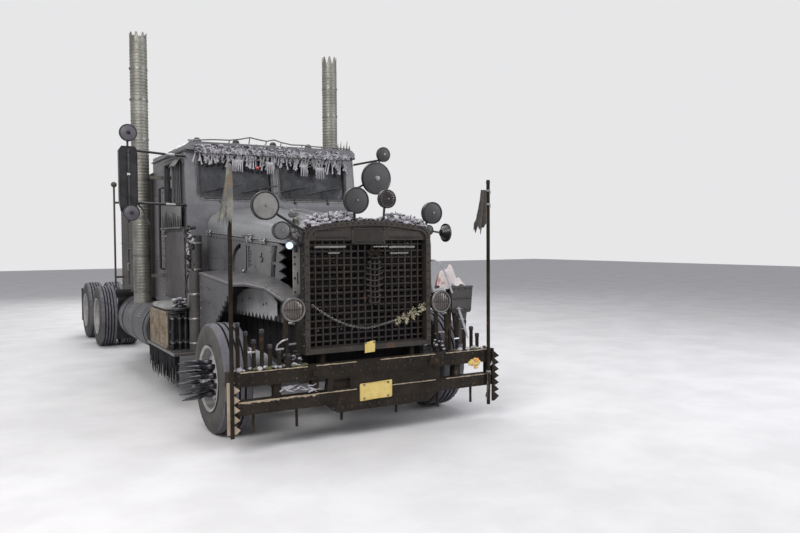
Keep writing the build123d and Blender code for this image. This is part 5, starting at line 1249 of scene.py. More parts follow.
# Wheels: rim flange, hand-hole lips, glossy spikes, hub trim
def ring(mesh, c, axis, r, thick, mi=0, n=16, k=6):
    axis = Vector(axis).normalized()
    u = axis.orthogonal().normalized()
    w = axis.cross(u)
    mesh.tube([Vector(c) + u * (r * math.cos(2 * PI * i / n)) + w * (r * math.sin(2 * PI * i / n)) for i in range(n)],
              thick, k, mi, loop=True)


def wheel_point(sx, dx, r, a, y=0.0):
    # dx outside the wheel's middle, r from its axle at angle a, all in metres
    return Vector((sx * (WHEEL_X / 1000.0 + dx), (y - MIDDLE_Y) / 1000.0 + r * math.cos(a),
                   WHEEL_Z / 1000.0 + r * math.sin(a)))


FLANGE = [(0.112, 0.284), (0.122, 0.290), (0.131, 0.298), (0.136, 0.300), (0.139, 0.296), (0.137, 0.286),
          (0.126, 0.2725), (0.112, 0.271)]
for side, sx in SIDES.items():
    m = Mesh()
    c = T(sx * WHEEL_X, 0, WHEEL_Z)
    out = (sx, 0, 0)
    m.lathe(c, out, FLANGE, 96, 0)
    m.lathe(c, out, [(0.046, 0.2775), (0.053, 0.270), (0.056, 0.262), (0.052, 0.258)], 72, 0)
    m.lathe(c, out, [(0.197, 0.034), (0.204, 0.030), (0.209, 0.018), (0.210, 0.0)], 32, 1)
    m.lathe(c, out, [(0.110, 0.066), (0.124, 0.066), (0.126, 0.060), (0.124, 0.056)], 40, 1)
    for i in range(10):
        a = 2 * PI * i / 10
        p = wheel_point(sx, 0.0795, 0.205, a)
        normal = Vector((sx * 0.923, 0.384 * math.cos(a), 0.384 * math.sin(a)))
        ring(m, p, normal, 0.0285, 0.0038, 0, 18, 6)
        b = a + PI / 10
        m.bolt(wheel_point(sx, 0.127, 0.0595, b), out, 0.0055, 0.006, 1)
    m.tube([wheel_point(sx, d, r, 0.62) for d, r in ((0.070, 0.246), (0.085, 0.243), (0.118, 0.262))], 0.0052, 8, 1)
    build(m, f"wheel_rim_{side}", f"front_wheel_{side}", ["rim", "steel"])
    m = Mesh()
    for i in range(10):
        a = 2 * PI * (i + 0.5) / 10
        row = ((0.093, 0.143, 0.024), (0.104, 0.143, 0.029), (0.148, 0.143, 0.028), (0.160, 0.1445, 0.020),
               (0.205, 0.151, 0.0245), (0.262, 0.1585, 0.0200), (0.320, 0.1665, 0.0130), (0.371, 0.1732, 0.0045))
        m.tube([wheel_point(sx, d, r, a) for d, r, _ in row], [q for _, _, q in row], 12, 0)
    for i in range(6):
        a = 2 * PI * (i + 0.2) / 6
        reach = rnd.uniform(0.25, 0.32)
        row = ((0.112, 0.094, 0.022), (0.150, 0.095, 0.023), (0.165, 0.096, 0.018), (reach - 0.06, 0.106, 0.017),
               (reach, 0.116, 0.004))
        m.tube([wheel_point(sx, d, r, a + 0.04 * k) for k, (d, r, _) in enumerate(row)], [q for _, _, q in row], 10, 0)
    build(m, f"wheel_spikes_{side}", f"front_wheel_{side}", ["spike"], angle=50)
    for label, y in DRIVE_AXLES:
        m = Mesh()
        c = T(sx * WHEEL_X, y, WHEEL_Z)
        m.lathe(c, out, FLANGE, 72, 0)
        m.lathe(c, out, [(-0.095, 0.276), (-0.088, 0.268), (-0.086, 0.258), (-0.092, 0.252)], 60, 0)
        m.lathe(c, out, [(0.036, 0.058), (0.043, 0.054), (0.046, 0.040), (0.040, 0.020), (0.040, 0.0)], 32, 1)
        m.lathe(c, out, [(-0.10, 0.108), (-0.095, 0.116), (-0.088, 0.116), (-0.086, 0.104)], 40, 1)
        for i in range(8):
            a = 2 * PI * i / 8
            m.bolt(wheel_point(sx, 0.021, 0.078, a, y), out, 0.008, 0.010, 1)
        for i in range(10):
            a = 2 * PI * (i + 0.5) / 10
            row = ((-0.127, 0.143, 0.022), (-0.118, 0.143, 0.027), (-0.068, 0.143, 0.027), (-0.060, 0.1445, 0.018),
                   (0.010, 0.157, 0.013), (0.081, 0.1732, 0.0042))
            m.tube([wheel_point(sx, d, r, a, y) for d, r, _ in row], [q for _, _, q in row], 10, 2)
            ring(m, wheel_point(sx, -0.104, 0.218, 2 * PI * i / 10, y), out, 0.0285, 0.004, 0, 16, 6)
        build(m, f"drive_wheel_trim_{label}_{side}", f"drive_wheel_{label}_{side}", ["rim", "steel", "spike"])

# Sheets of cloth: each hangs as it was cut, with its flat size worked out from its own threads
CLOTH_THICK = 0.0012


def hang(name, grid, key, held):
    # A hung cloth's torn foot adds nothing to its width
    side = (lambda d: d.xy.length) if held == "hung" else (lambda d: d.length)
    across = max(sum(side(b - a) for a, b in zip(row, row[1:])) for row in grid)
    m = Mesh()
    m.sheet(grid, 0, CLOTH_THICK)
    o = build(m, name, "chassis", [key], angle=80)


def rag(x0, y0, z0, long, w0, w1, seed, cols=14, rows=26, flat=0):
    # A torn cloth tied at its top and falling in folds; its foot is ragged. The first `flat` mm
    # of its width lie against the pole, and its foot is split there
    r = random.Random(seed)
    drop = [1.0 - 0.30 * r.random() * (0.3 + abs(2 * j / cols - 1)) for j in range(cols + 1)]
    if flat:
        drop = [d - 0.16 * math.exp(-((j / cols - 0.46) / 0.09) ** 2) for j, d in enumerate(drop)]
    grid = []
    for i in range(rows + 1):
        v = i / rows
        row = []
        for j in range(cols + 1):
            u = j / cols
            w = w0 + (w1 - w0) * v ** 1.15
            fold = (0.05 + 0.05 * v) * w * math.sin(u * 14.0 + 2.2 * v)
            if flat:
                fold = (fold + (0.05 + 0.05 * v) * w) * max(0.0, min(1.0, (u * w - flat) / 20))
            ragged = (3.0 * math.sin(u * 31 + v * 17) + 3.0 * math.sin(v * 23)) * v
            x = x0 - (u * w + ragged * (1 if j in (0, cols) else 0.3)) + 8 * math.sin(3.0 * v)
            row.append(T(x, y0 + fold, z0 - long * v * (1 + (drop[j] - 1) * v ** 2)))
        grid.append(row)
    return grid


hang("rag_tan_left", rag(-1283, -896.6, 2344, 525, 40, 126, 3, 16, 30, 36), "rag_tan", "hung")
hang("rag_dark_right", rag(1236, -878, 2214, 430, 80, 178, 5), "rag_dark", "hung")
hang("rag_dark_low", rag(1252, -886, 470, 300, 34, 56, 8, 10, 20), "rag_dark", "hung")
m = Mesh()
for x, z in ((-1300, 2342), (1240, 2210), (1240, 2080), (1240, 466)):
    m.lathe(T(x, -876, z - 12), UP, [(0, 0.0172), (0.004, 0.021), (0.014, 0.0215), (0.020, 0.0172)], 14, 0)
    m.tube([T(x, -893, z), T(x + 14, -895, z - 8), T(x + 20, -890, z - 34)], 0.003, 6, 0)
build(m, "rag_ties", "chassis", ["sack"])

# Dark crate on a flared foot by the left headlamp, with a pale stained cloth over it
m = Mesh()
for z0, z1, a0, a1 in ((738, 1045, 34, 70), (1045, 1062, 96, 108), (1062, 1286, 108, 122), (1286, 1300, 130, 126)):
    corners = [T(968, -776, z) + Vector((sx * a, sy * a * 0.42, 0)) / 1000
               for z, a in ((z0, a0), (z1, a1)) for sx, sy in ((-1, -1), (1, -1), (1, 1), (-1, 1))]
    m.add(corners, BLOCK, 0)
for z in (1075, 1275):
    for x in (878, 928, 1008, 1058):
        m.bolt(T(x, -828, z), FRONT, 0.006, 0.005, 1)
m.tube([T(868, -828, 1180), T(1068, -829, 1184)], 0.006, 8, 1)
m.tube([T(700, -742, 1160), T(862, -748, 1165)], 0.014, 8, 1)
build(m, "front_crate_left", "chassis", ["box", "pipe"], bevel=0.003)
grid = []
for i in range(27):
    u = i / 26
    row = []
    for j in range(23):
        v = j / 22
        x = 716 + 296 * u
        lump = sum(h * math.exp(-abs((u - a) / w) ** k - abs((v - 0.5) / 0.38) ** k)
                   for h, a, w, k in ((158, 0.34, 0.32, 4), (62, 0.58, 0.12, 2), (66, 0.84, 0.14, 2)))
        edge = min(u, 1 - u, v, 1 - v)
        z = 1304 + lump + 15 * math.sin(u * 17 + v * 7) * math.sin(v * 9 + 1) + 4 * math.sin(u * 29)
        if edge < 0.12:
            z -= (0.12 - edge) * (60 if x > 842 else 220)
        row.append(T(x + 8 * math.sin(v * 13), -822 + 92 * v + 6 * math.sin(u * 17),
                     max(z, 1302.5 if x > 838 else 1262)))
    grid.append(row)
hang("cloth_pale_left", [list(r) for r in zip(*grid)], "rag_pale", "laid")
m = Mesh()
m.tube([T(720, -848, 1516), T(785, -846, 1380), T(846, -839, 1238)], [0.009, 0.011, 0.009], 8, 0)
m.tube([T(914, -838, 1100), T(950, -842, 1000), T(988, -846, 890), T(1020, -846, 800)],
       [0.009, 0.012, 0.011, 0.007], 8, 0)
m.tube([T(720, -848, 1516), T(682, -790, 1548), T(628, -690, 1545)], [0.009, 0.009, 0.008], 8, 0)
for z, x in ((1085, 919), (985, 955), (890, 988)):
    m.tube([T(x - 14, -796, z), T(x - 12, -848, z), T(x + 13, -856, z), T(x + 16, -796, z)], 0.004, 6, 0)
build(m, "bone_sticks_left", "chassis", ["bone"])

# Piles of pale lumps, sticks and dark bits on the grille shell
def shell_top(x):
    # Height of the grille shell's crown
    return 1915.0 - 53.0 * (abs(x) / 520.0) ** 2


def pile(mesh, x0, x1, y0, y1, count, tall):
    for _ in range(count):
        x = rnd.uniform(x0, x1)
        y = rnd.uniform(y0, y1)
        z = shell_top(x) + tall * rnd.random() ** 1.7
        kind = rnd.random()
        q = rnd.uniform(0.009, 0.024)
        if kind < 0.52:
            mesh.ball(T(x, y, z + q * 500), q, (rnd.uniform(0.9, 1.6), 1.0, rnd.uniform(0.6, 0.95)), 9, 0, 0.16, rnd)
        elif kind < 0.86:
            a = rnd.uniform(0, PI)
            b = rnd.uniform(-0.5, 0.9)
            h = rnd.uniform(24, 62)
            dx, dy, dz = h * math.cos(a), h * 0.5 * math.sin(a), h * 0.5 * math.sin(b)
            mesh.tube([T(x - dx, y - dy, z + 8 - dz), T(x, y, z + 12), T(x + dx, y + dy, z + 10 + dz)],
                      [q * 0.55, q * 0.34, q * 0.55], 7, 0)
        else:
            mesh.ball(T(x, y, z + 12), q * 0.6, (1.2, 1, 0.9), 7, 1, 0.2, rnd)


m = Mesh()
pile(m, -590, -175, -790, -668, 120, 78)
pile(m, 225, 600, -790, -668, 90, 72)
pile(m, -170, 215, -780, -668, 26, 12)
for _ in range(34):
    x = rnd.choice((rnd.uniform(-580, -190), rnd.uniform(240, 590)))
    y = rnd.uniform(-776, -680)
    h = rnd.uniform(50, 105)
    z = shell_top(x)
    m.tube([T(x, y, z), T(x + rnd.uniform(-14, 14), y, z + h * 0.6), T(x + rnd.uniform(-26, 26), y, z + h)],
           [0.008, 0.006, 0.003], 6, rnd.choice((0, 0, 1)))
build(m, "shell_top_litter", "chassis", ["bone", "pipe"], angle=60)

m = Mesh()
m.tube([T(-634, -700, 1690), T(-668, -700, 1760), T(-690, -700, 1880), T(-684, -700, 1990)],
       [0.013, 0.012, 0.010, 0.006], 8, 1)
for _ in range(70):
    z = rnd.uniform(1756, 1998)
    x = -690 + rnd.uniform(-46, 44) * (1.0 if z < 1930 else 0.6)
    q = rnd.uniform(0.010, 0.026)
    m.ball(T(x, -700 + rnd.uniform(-26, 26), z), q, (rnd.uniform(0.8, 1.5), 1, rnd.uniform(0.7, 1.2)), 9,
           0 if rnd.random() < 0.72 else 1, 0.2, rnd)
for _ in range(20):
    z = rnd.uniform(1780, 1985)
    x = -690 + rnd.uniform(-30, 30)
    a = rnd.uniform(0, 2 * PI)
    m.tube([T(x, -700, z), T(x + 30 * math.cos(a), -722, z + 26 * math.sin(a)),
            T(x + 56 * math.cos(a), -730, z + 40 * math.sin(a))], [0.007, 0.006, 0.003], 6, 0)
build(m, "shell_side_cluster", "chassis", ["pale", "pipe"], angle=60)

M["lit"], tree, bsdf = nodes_of("lamp_lit_white")
net = Net(tree)
glow = net.mix(net.span(net.noise(60.0, 4.0, 0.6), 0.3, 0.7), (0.55, 0.78, 0.92), (0.80, 0.93, 1.0))
finish(bsdf, net, Base_Color=glow, Emission_Color=glow, Emission_Strength=0.9, Roughness=0.2)
m = Mesh()
m.tube([T(-632, -700, 1700), T(-690, -705, 1702)], 0.010, 8, 0)
m.lathe(T(-728, -700, 1700), (-0.25, -0.97, 0.0), [(-0.030, 0.0), (-0.030, 0.016), (-0.012, 0.034), (0.010, 0.037),
                                                   (0.014, 0.034), (0.012, 0.030)], 28, 0)
m.lathe(T(-728, -700, 1700), (-0.25, -0.97, 0.0), [(0.010, 0.031), (0.017, 0.024), (0.021, 0.012), (0.022, 0.0)], 24, 1)
build(m, "small_lamp_lit", "chassis", ["steel", "lit"])

# Hanging chain across the grille's foot, with dry leaves at its right end
m = Mesh()
path = []
for i in range(61):
    u = i / 60
    x = -560 + 1063 * u
    z = 958 + 232 * (1 - u) * abs(1 - 2 * u) ** 1.6 + 118 * u * abs(1 - 2 * u) ** 1.6
    path.append((x, z))
for i in range(60):
    (x0, z0), (x1, z1) = path[i], path[i + 1]
    a = T(x0, -778, z0)
    b = T(x1, -778, z1)
    d = (b - a).normalized()
    w = (Vector(FRONT) if i % 2 else d.cross(Vector(FRONT))).normalized()
    mid = (a + b) / 2
    half = (b - a).length * 0.62
    link = []
    for k in range(10):
        t = 2 * PI * k / 10
        link.append(mid + d * (half * math.cos(t)) + w * (0.0075 * math.sin(t)))
    m.tube(link, 0.0028, 5, 0, loop=True)
build(m, "grille_chain", "chassis", ["steel"])
M["leaf"] = surface("dry_leaf", (0.30, 0.27, 0.17), (0.44, 0.41, 0.28), rough=(0.6, 0.85), scale=40.0, grain=220.0,
                    bump=0.6, offset=114.0)
m = Mesh()
for _ in range(90):
    u = rnd.random()
    x = 250 + 375 * u
    z = 1000 + 150 * u ** 1.5 + rnd.uniform(-26, 40)
    a = rnd.uniform(-1.2, 1.6)
    ln = rnd.uniform(22, 52)
    w = ln * 0.2
    c, s = math.cos(a), math.sin(a)
    y = -780 - rnd.uniform(0, 14)
    q = [T(x + px * c - pz * s, y + dy, z + px * s + pz * c)
         for px, pz, dy in ((0, 0, 0), (ln * 0.45, w, -4), (ln, 0, 0), (ln * 0.45, -w, 3))]
    m.add(q + [p + Vector((0, -0.0012, 0)) for p in q], prism_faces(4), 0)
build(m, "grille_leaves", "chassis", ["leaf"])

# Dark side baffles beside the radiator and slats before its core
m = Mesh()
for sx in (-1, 1):
    m.slab(sx, (452, 609), (-626, -622), (975, 1688), 0, 0.001)
    for z in range(1010, 1690, 70):
        m.bolt(T(sx * 520, -626, z), FRONT, 0.005, 0.004, 1)
m.box(T(-420, -640, 812), T(420, -636, 960), 0, 0.001)
for i in range(96):
    x = -492 + 984 * i / 95
    m.box(T(x - 1.6, -608, 985), T(x + 1.6, -600.5, 1728), 0)
for z in range(985, 1850, 46):
    for x0, x1 in ((-560, -120), (120, 560)):
        q = [T(x0, -700, z), T(x1, -700, z), T(x1, -672, z + 30), T(x0, -672, z + 30)]
        t = Vector((0, -0.0012, -0.0012))
        m.add(q + [p + t for p in q], BLOCK, 2)
for k in range(190):
    x = rnd.choice((-1, 1)) * rnd.uniform(140, 550)
    z = 985 + 46 * rnd.randrange(0, 18)
    w = rnd.uniform(8, 26)
    m.box(T(x, -704, z + 2), T(x + w, -700, z + 14), 2 if k % 3 else 3, 0.001)
build(m, "radiator_slats", "chassis", ["radiator", "pipe", "grille", "mesh"])

# Pale hem plate under the fender's lip, its paleness painted lamplight on the shaded hood side, with two small dark
# marks
m = Mesh()
# Pale grey that paints lamplight onto the shaded hem: painted light
M["hem"] = surface("hem_painted_lamplight", (0.30, 0.30, 0.31), (0.42, 0.42, 0.43), rough=(0.35, 0.6), scale=6.0, bump=0.2,
                   rust=0.12, dust=0.1, streak=0.3, chips=0.2, offset=117.0)
hem = [(-340, 1062)]
for i in range(11):
    hem.extend([(-300 + 80 * i, 1068), (-260 + 80 * i, 1014)])
hem.extend([(560, 1070), (540, 1190), (380, 1268), (60, 1300), (-200, 1270), (-340, 1190)])
side_plate(m, hem, 64, 0.0025, 0)
for y, z in ((-120, 1165), (-60, 1150), (250, 1190), (420, 1160)):
    m.bolt(HS(y, z, 66), (-1, 0, 0), 0.009, 0.004, 1)
for y, z in ((-250, 1240), (60, 1270), (330, 1250)):
    m.tube([HS(y, z, 0), HS(y, z, 66)], 0.008, 8, 1)
build(m.swung(), "fender_hem", "chassis", ["hem", "pipe"])

# Worn edge with a painted highlight, and litter on the bumper's lower rail
m = Mesh()
# Pale tan strip along the lower rail's top: wear and a painted highlight
for i in range(26):
    x = -1246 + 27 * i
    m.box(T(x, -863.5, 442 - rnd.uniform(8, 22)), T(x + 27, -860.5, 442), 0)
for k in range(16):
    x = rnd.uniform(-930, -590)
    z = rnd.uniform(452, 520)
    m.tube([T(x, -800 - rnd.uniform(0, 40), z), T(x + rnd.uniform(20, 60), -842, z + rnd.uniform(-20, 26)),
            T(x + rnd.uniform(60, 110), -836, z + rnd.uniform(-24, 24))],
           [0.008, 0.005, 0.003], 7, 1)
for k in range(26):
    a = rnd.uniform(0, 2 * PI)
    q = rnd.uniform(0.010, 0.026)
    x, z = 1085 + 66 * math.cos(a) * rnd.random(), 556 + 44 * math.sin(a) * rnd.random()
    m.ball(T(x, -868, z), q, (1.2, 0.7, 1.0), 9, 2 if k % 4 else 3, 0.2, rnd)
m.tube([T(1252, -858, 520), T(1285, -866, 535), T(1302, -862, 575)], [0.016, 0.011, 0.003], 9, 1)
build(m, "bumper_litter_low", "chassis", ["tan", "bone", "yellow", "amber"], angle=60)

# Chest: carved panel, frame, dark front with pipes, pale lower edge
m = Mesh()
m.box(T(-1253, 1502, 576), T(-1250, 2348, 978), 0)
for y0, y1, z0, z1 in ((1502, 2348, 940, 978), (1502, 2348, 576, 614), (1502, 1548, 576, 978),
                       (2302, 2348, 576, 978), (1902, 1946, 612, 942)):
    m.box(T(-1259, y0, z0), T(-1252, y1, z1), 0, 0.003)
for yc in (1725, 2124):
    for r in (60, 88, 116):
        m.tube([T(-1254, yc + 1.25 * r * math.cos(2 * PI * k / 28), 777 + r * math.sin(2 * PI * k / 28))
                for k in range(28)], 0.006, 6, 0, loop=True)
    for k in range(8):
        a = 2 * PI * k / 8
        m.ball(T(-1254, yc + 96 * math.cos(a), 777 + 76 * math.sin(a)), 0.014, (0.5, 1.2, 1), 9, 0, 0.05, rnd)
        m.tube([T(-1254, yc + 20 * math.cos(a), 777 + 16 * math.sin(a)),
                T(-1257, yc + 52 * math.cos(a + 0.2), 777 + 42 * math.sin(a + 0.2))], [0.007, 0.003], 6, 0)
for y in (1524, 1924, 2325):
    for z in (596, 958):
        m.bolt(T(-1259, y, z), (-1, 0, 0), 0.008, 0.004, 1)
build(m, "chest_carved_panel", "chassis", ["wood", "steel"], bevel=0.001)
m = Mesh()
for i, x in enumerate((-1010, -1068, -1130, -1205)):
    m.tube([T(x, 1466, 572), T(x, 1466, 780), T(x + (6 if i % 2 else -4), 1462, 1010 - 26 * i)], 0.021, 12, 1)
    for z in (640, 900):
        m.lathe(T(x, 1466, z), UP, [(0, 0.021), (0.003, 0.026), (0.019, 0.026), (0.022, 0.021)], 16, 2)
for z in (650, 910):
    m.box(T(-1235, 1484, z), T(-985, 1489, z + 26), 2, 0.001)
m.box(T(-960, 1494, 590), T(-1240, 1499.5, 960), 1, 0.002)
for x in (-975, -1225):
    for z in (610, 770, 940):
        m.bolt(T(x, 1494, z), FRONT, 0.008, 0.005, 2)
m.box(T(-1264, 1192, 541), T(-1260, 2478, 569), 0, 0.001)
m.box(T(-1262, 1188, 566), T(-660, 1192, 571), 0)
for y in range(1230, 2470, 62):
    m.bolt(T(-1264, y, 555), (-1, 0, 0), 0.005, 0.003, 2)
for i in range(30):
    for j in range(7):
        y = 1215 + 9.2 * i
        x = -1235 + 82 * j + (41 if i % 2 else 0)
        if y < 1470:
            m.box(T(x - 15, y - 2, 569.5), T(x + 15, y + 2, 572.5), 2)
build(m.swung(), "step_and_chest_trim", "chassis", ["pale", "pipe", "steel"])

# Stuffed forms: crowned and closed, with a flat foot where they rest
def pillow(mesh, c, half, n=40, k=20, square=3.2, lumps=0.05, seed=1, foot=0.25):
    r = random.Random(seed)
    waves = [(r.uniform(1.5, 5), r.uniform(1.5, 5), r.uniform(0, 6.3), r.uniform(0.4, 1.0)) for _ in range(7)]
    verts = []
    faces = []
    for i in range(k + 1):
        phi = -PI / 2 + PI * i / k
        for j in range(n):
            th = 2 * PI * j / n
            ct, st = math.cos(th), math.sin(th)
            d = (abs(ct) ** square + abs(st) ** square) ** (-1 / square)
            cp = max(math.cos(phi), 0.0) ** 0.62
            pinch = 1.0 - 0.055 * (1 - abs(math.cos(2 * th))) * cp
            px, py = d * ct * cp * pinch, d * st * cp * pinch
            pz = math.copysign(abs(math.sin(phi)) ** 0.85, phi)
            pz = max(pz, -1 + foot) if pz < 0 else pz
            w = sum(h * math.sin(a * px + b * py + c0) for a, b, c0, h in waves) / 7
            g = 1 + lumps * w * 3
            x, y, z = px * half[0] * g, py * half[1] * g, pz * half[2] * (g if pz > 0 else 1)
            verts.append(T(c[0] + x, c[1] + y, c[2] + z))
    for i in range(k):
        for j in range(n):
            a, b = i * n + j, i * n + (j + 1) % n
            faces.append((a, b, b + n, a + n))
    faces.append(tuple(range(n - 1, -1, -1)))
    faces.append(tuple(range(k * n, (k + 1) * n)))
    mesh.add(verts, faces)


def bag(name, key, slot, c, half, fill, place=None, **kw):
    # A padded piece; place moves its points after the pillow is shaped
    mesh = Mesh()
    pillow(mesh, c, half, **kw)
    if place:
        mesh.v = [place(Vector(v)) for v in mesh.v]
    o = build(mesh, name, "chassis", [key], angle=70)
    return o


bag("sack_on_chest", "sack", "box_steel", (-1106, 1922, 1016), (152, 428, 40), fill=0.35, seed=4, lumps=0.05,
    square=6.0, foot=0.1)
m = Mesh()
m.box(T(-1215, 1270, 1010), T(-1080, 1480, 1040), 1, 0.003)
for y0, y1 in ((1300, 1302), (1450, 1450)):
    m.tube([T(-1062, y0, 1024), T(-1130, y1, 1024)], 0.014, 8, 1)
for _ in range(30):
    x, y, z = rnd.uniform(-1200, -1100), rnd.uniform(1290, 1460), 1046 + 90 * rnd.random() ** 1.5
    m.ball(T(x, y, z), rnd.uniform(0.010, 0.026), (1.4, 1, 0.7), 9, rnd.choice((0, 0, 1, 3)), 0.25, rnd)
for _ in range(42):
    a = rnd.uniform(-1.0, 1.2)
    z = rnd.uniform(1400, 1900)
    q = rnd.uniform(0.009, 0.021)
    x = -1000 - 74 * math.cos(a)
    y = 1300 - 74 * math.sin(a)
    m.ball(T(x, y, z), q, (1.1, 1, rnd.uniform(0.8, 1.6)), 9, 0 if rnd.random() < 0.34 else 1, 0.25, rnd)
for k in range(7):
    z = 1460 + 62 * k
    m.tube([T(-1062, 1262, z), T(-1096, 1230, z + rnd.uniform(-30, 30)), T(-1118, 1222, z + rnd.uniform(-70, 50))],
           [0.008, 0.006, 0.004], 7, 1)
POST_BANDS = (640, 900, 1160, 1420, 1700)
BAND = [(0, 0.0702), (0.004, 0.0765), (0.026, 0.0765), (0.030, 0.0702)]
for z in POST_BANDS:
    m.lathe(T(-1000, 1300, z), UP, BAND, 26, 2)
m.tube([T(-1060, 1350, 1180), T(-1084, 1380, 1260), T(-1070, 1400, 1330), T(-1046, 1380, 1400)], 0.011, 8, 1)
build(m, "cowl_post_dress", "chassis", ["bone", "pipe", "steel", "plum"], angle=60)
m = Mesh()
for z in POST_BANDS:
    m.lathe(T(1000, 1300, z), UP, BAND, 26, 0)
build(m, "cowl_post_bands", "chassis", ["steel"])

# Stiff dark strips hanging below the step, ends cut ragged
m = Mesh()
for sx in (-1, 1):
    for i in range(104):
        y = 1230 + 12 * i + rnd.uniform(-5, 5)
        w = rnd.uniform(10, 20)
        foot = rnd.uniform(185, 330) if i % 3 else rnd.uniform(300, 440)
        x = sx * (1205 + 14 * (i % 4) - rnd.uniform(0, 5))
        dx, dy = sx * rnd.uniform(-10, 4), rnd.uniform(-18, 18)
        pts = [(x, y - w, 541), (x, y + w, 541), (x + dx * 0.5, y + w + dy * 0.4, (541 + foot) / 2),
               (x + dx, y + dy + w * 0.5, foot + 14), (x + dx, y + dy, foot), (x + dx, y + dy - w * 0.6, foot + 26),
               (x + dx * 0.5, y - w + dy * 0.4, (541 + foot) / 2)]
        a = [T(*p) for p in pts]
        m.add(a + [p + Vector((sx * 0.004, 0, 0)) for p in a], prism_faces(len(a)), 0)
build(m, "step_strips", "chassis", ["groove"])

# Fuel tanks: caps, steps, end welds and straps' bolts; ripple guards behind them
TANK_X, TANK_Z = 955, 675
m = Mesh()
for sx in (-1, 1):
    for y in (2600, 3440, 4410):
        ring(m, T(sx * TANK_X, y, TANK_Z), BACK, 0.3105, 0.004, 0, 56, 6)
    m.lathe(T(sx * 1045, 3300, 962), (sx * 0.3, 0, 0.954), [(0.0, 0.050), (0.020, 0.050), (0.022, 0.060),
                                                            (0.048, 0.060), (0.052, 0.052), (0.052, 0.0)], 26, 1)
    m.tube([T(sx * 1045, 3262, 1012), T(sx * 1060, 3300, 1024), T(sx * 1045, 3338, 1012)], 0.007, 8, 2)
    for y in (2750, 4130):
        for k in range(2):
            a = 0.25 + 1.9 * k
            p = T(sx * (TANK_X + 316 * math.cos(a)), y, TANK_Z + 316 * math.sin(a))
            m.bolt(p, (sx * math.cos(a), 0, math.sin(a)), 0.012, 0.014, 2)
    for y0 in (2980, 3560):
        for k in range(5):
            a = 0.42 + 0.1 * k
            x, z = sx * (TANK_X + 313 * math.cos(a)), TANK_Z + 313 * math.sin(a)
            m.tube([T(x, y0, z), T(x, y0 + 220, z)], 0.006, 6, 2)
    for k in range(3):
        m.lathe(T(sx * TANK_X, 2560, TANK_Z), FRONT, [(0.0, 0.29 - 0.06 * k), (0.004, 0.284 - 0.06 * k),
                                                (0.0, 0.276 - 0.06 * k)], 48, 0)
    guard = []
    for i in range(27):
        z = 1060 - 28 * i
        y = 4500 + 190 * (i / 26) ** 1.6 + 9 * math.cos(i * 1.6)
        guard.append([T(sx * x, y, z) for x in (985, 1060, 1140, 1210, 1255)])
    m.sheet(guard, 3, 0.005)
    m.tube([T(sx * 700, 4560, 980), T(sx * 990, 4520, 985)], 0.018, 8, 2)
build(m, "tank_trim", "chassis", ["tank", "bright", "steel", "pipe"], bevel=0.0015)

# Sleeper: seams, rivets, side hatches, rear rail, work lamps and a roof vent
SLEEPER_X, SLEEPER_BACK = 1080, 5150
m = Mesh()
for sx in (-1, 1):
    for y in (3240, 3690, 4160, 4630, 5110):
        m.slab(sx, (SLEEPER_X, 1084), (y - 14, y + 14), (1030, 2600), 0, 0.001)
        for z in range(1060, 2600, 62):
            for dy, dz in ((-7, 0), (7, 31)):
                m.rivet(T(sx * 1084, y + dy, z + dz), (sx, 0, 0), 0.006, 1)
    m.slab(sx, (SLEEPER_X, 1086), (3200, SLEEPER_BACK), (1700, 1722), 0, 0.002)
    loop = rounded(4200, 4590, 1110, 1640, 40)
    m.tube([T(sx * 1083, y, z) for y, z in loop], 0.009, 8, 2, loop=True)
    for z in (1210, 1530):
        m.tube([T(sx * 1090, 4196, z - 40), T(sx * 1090, 4196, z + 40)], 0.011, 8, 2)
    m.tube([T(sx * 1084, 4530, 1330), T(sx * 1104, 4530, 1340), T(sx * 1104, 4530, 1420), T(sx * 1084, 4530, 1430)],
           0.009, 8, 3)
    for k in range(7):
        z = 2180 + 30 * k
        m.slab(sx, (1082, 1092), (3860, 4120), (z, z + 12), 2, 0.002)
    m.tube([T(sx * 1076, 3210, 2618), T(sx * 1076, 4200, 2621), T(sx * 1074, 5140, 2618)], 0.010, 8, 2)
for x in (-820, -410, 0, 410, 820):
    m.box(T(x - 14, SLEEPER_BACK, 1040), T(x + 14, 5154, 2590), 0, 0.001)
    for z in range(1070, 2590, 76):
        m.rivet(T(x, 5154, z), BACK, 0.006, 1)
m.box(T(-1078, SLEEPER_BACK, 1840), T(1078, 5155, 1862), 0, 0.001)
for sx in (-1, 1):
    m.tube([T(sx * 940, 5152, 1250), T(sx * 940, 5205, 1260), T(sx * 940, 5205, 2180), T(sx * 940, 5152, 2190)],
           0.014, 10, 2)
    m.tube([T(sx * 640, 5152, 2350), T(sx * 640, 5190, 2350)], 0.018, 10, 2)
    m.lathe(T(sx * 640, 5196, 2350), (0, 1, -0.12), [(-0.020, 0.0), (-0.020, 0.030), (0.004, 0.060), (0.030, 0.066),
                                                     (0.036, 0.066), (0.038, 0.060), (0.034, 0.055)], 30, 2)
    m.lathe(T(sx * 640, 5196, 2350), (0, 1, -0.12), [(0.033, 0.056), (0.040, 0.040), (0.044, 0.0)], 28, 4)
m.box(T(-230, SLEEPER_BACK, 1180), T(230, 5166, 1330), 2, 0.004)
for k in range(8):
    m.box(T(-205, 5166, 1194 + 16 * k), T(205, 5172, 1201 + 16 * k), 0, 0.001)
for x, y in ((-500, 4100), (480, 4700)):
    m.box(T(x - 170, y - 170, 2612), T(x + 170, y + 170, 2634), 0, 0.006)
    ring(m, T(x, y, 2636), UP, 0.12, 0.006, 2, 32, 6)
    for k in range(8):
        a = 2 * PI * k / 8
        m.bolt(T(x + 148 * math.cos(a), y + 148 * math.sin(a), 2634), UP, 0.007, 0.005, 1)
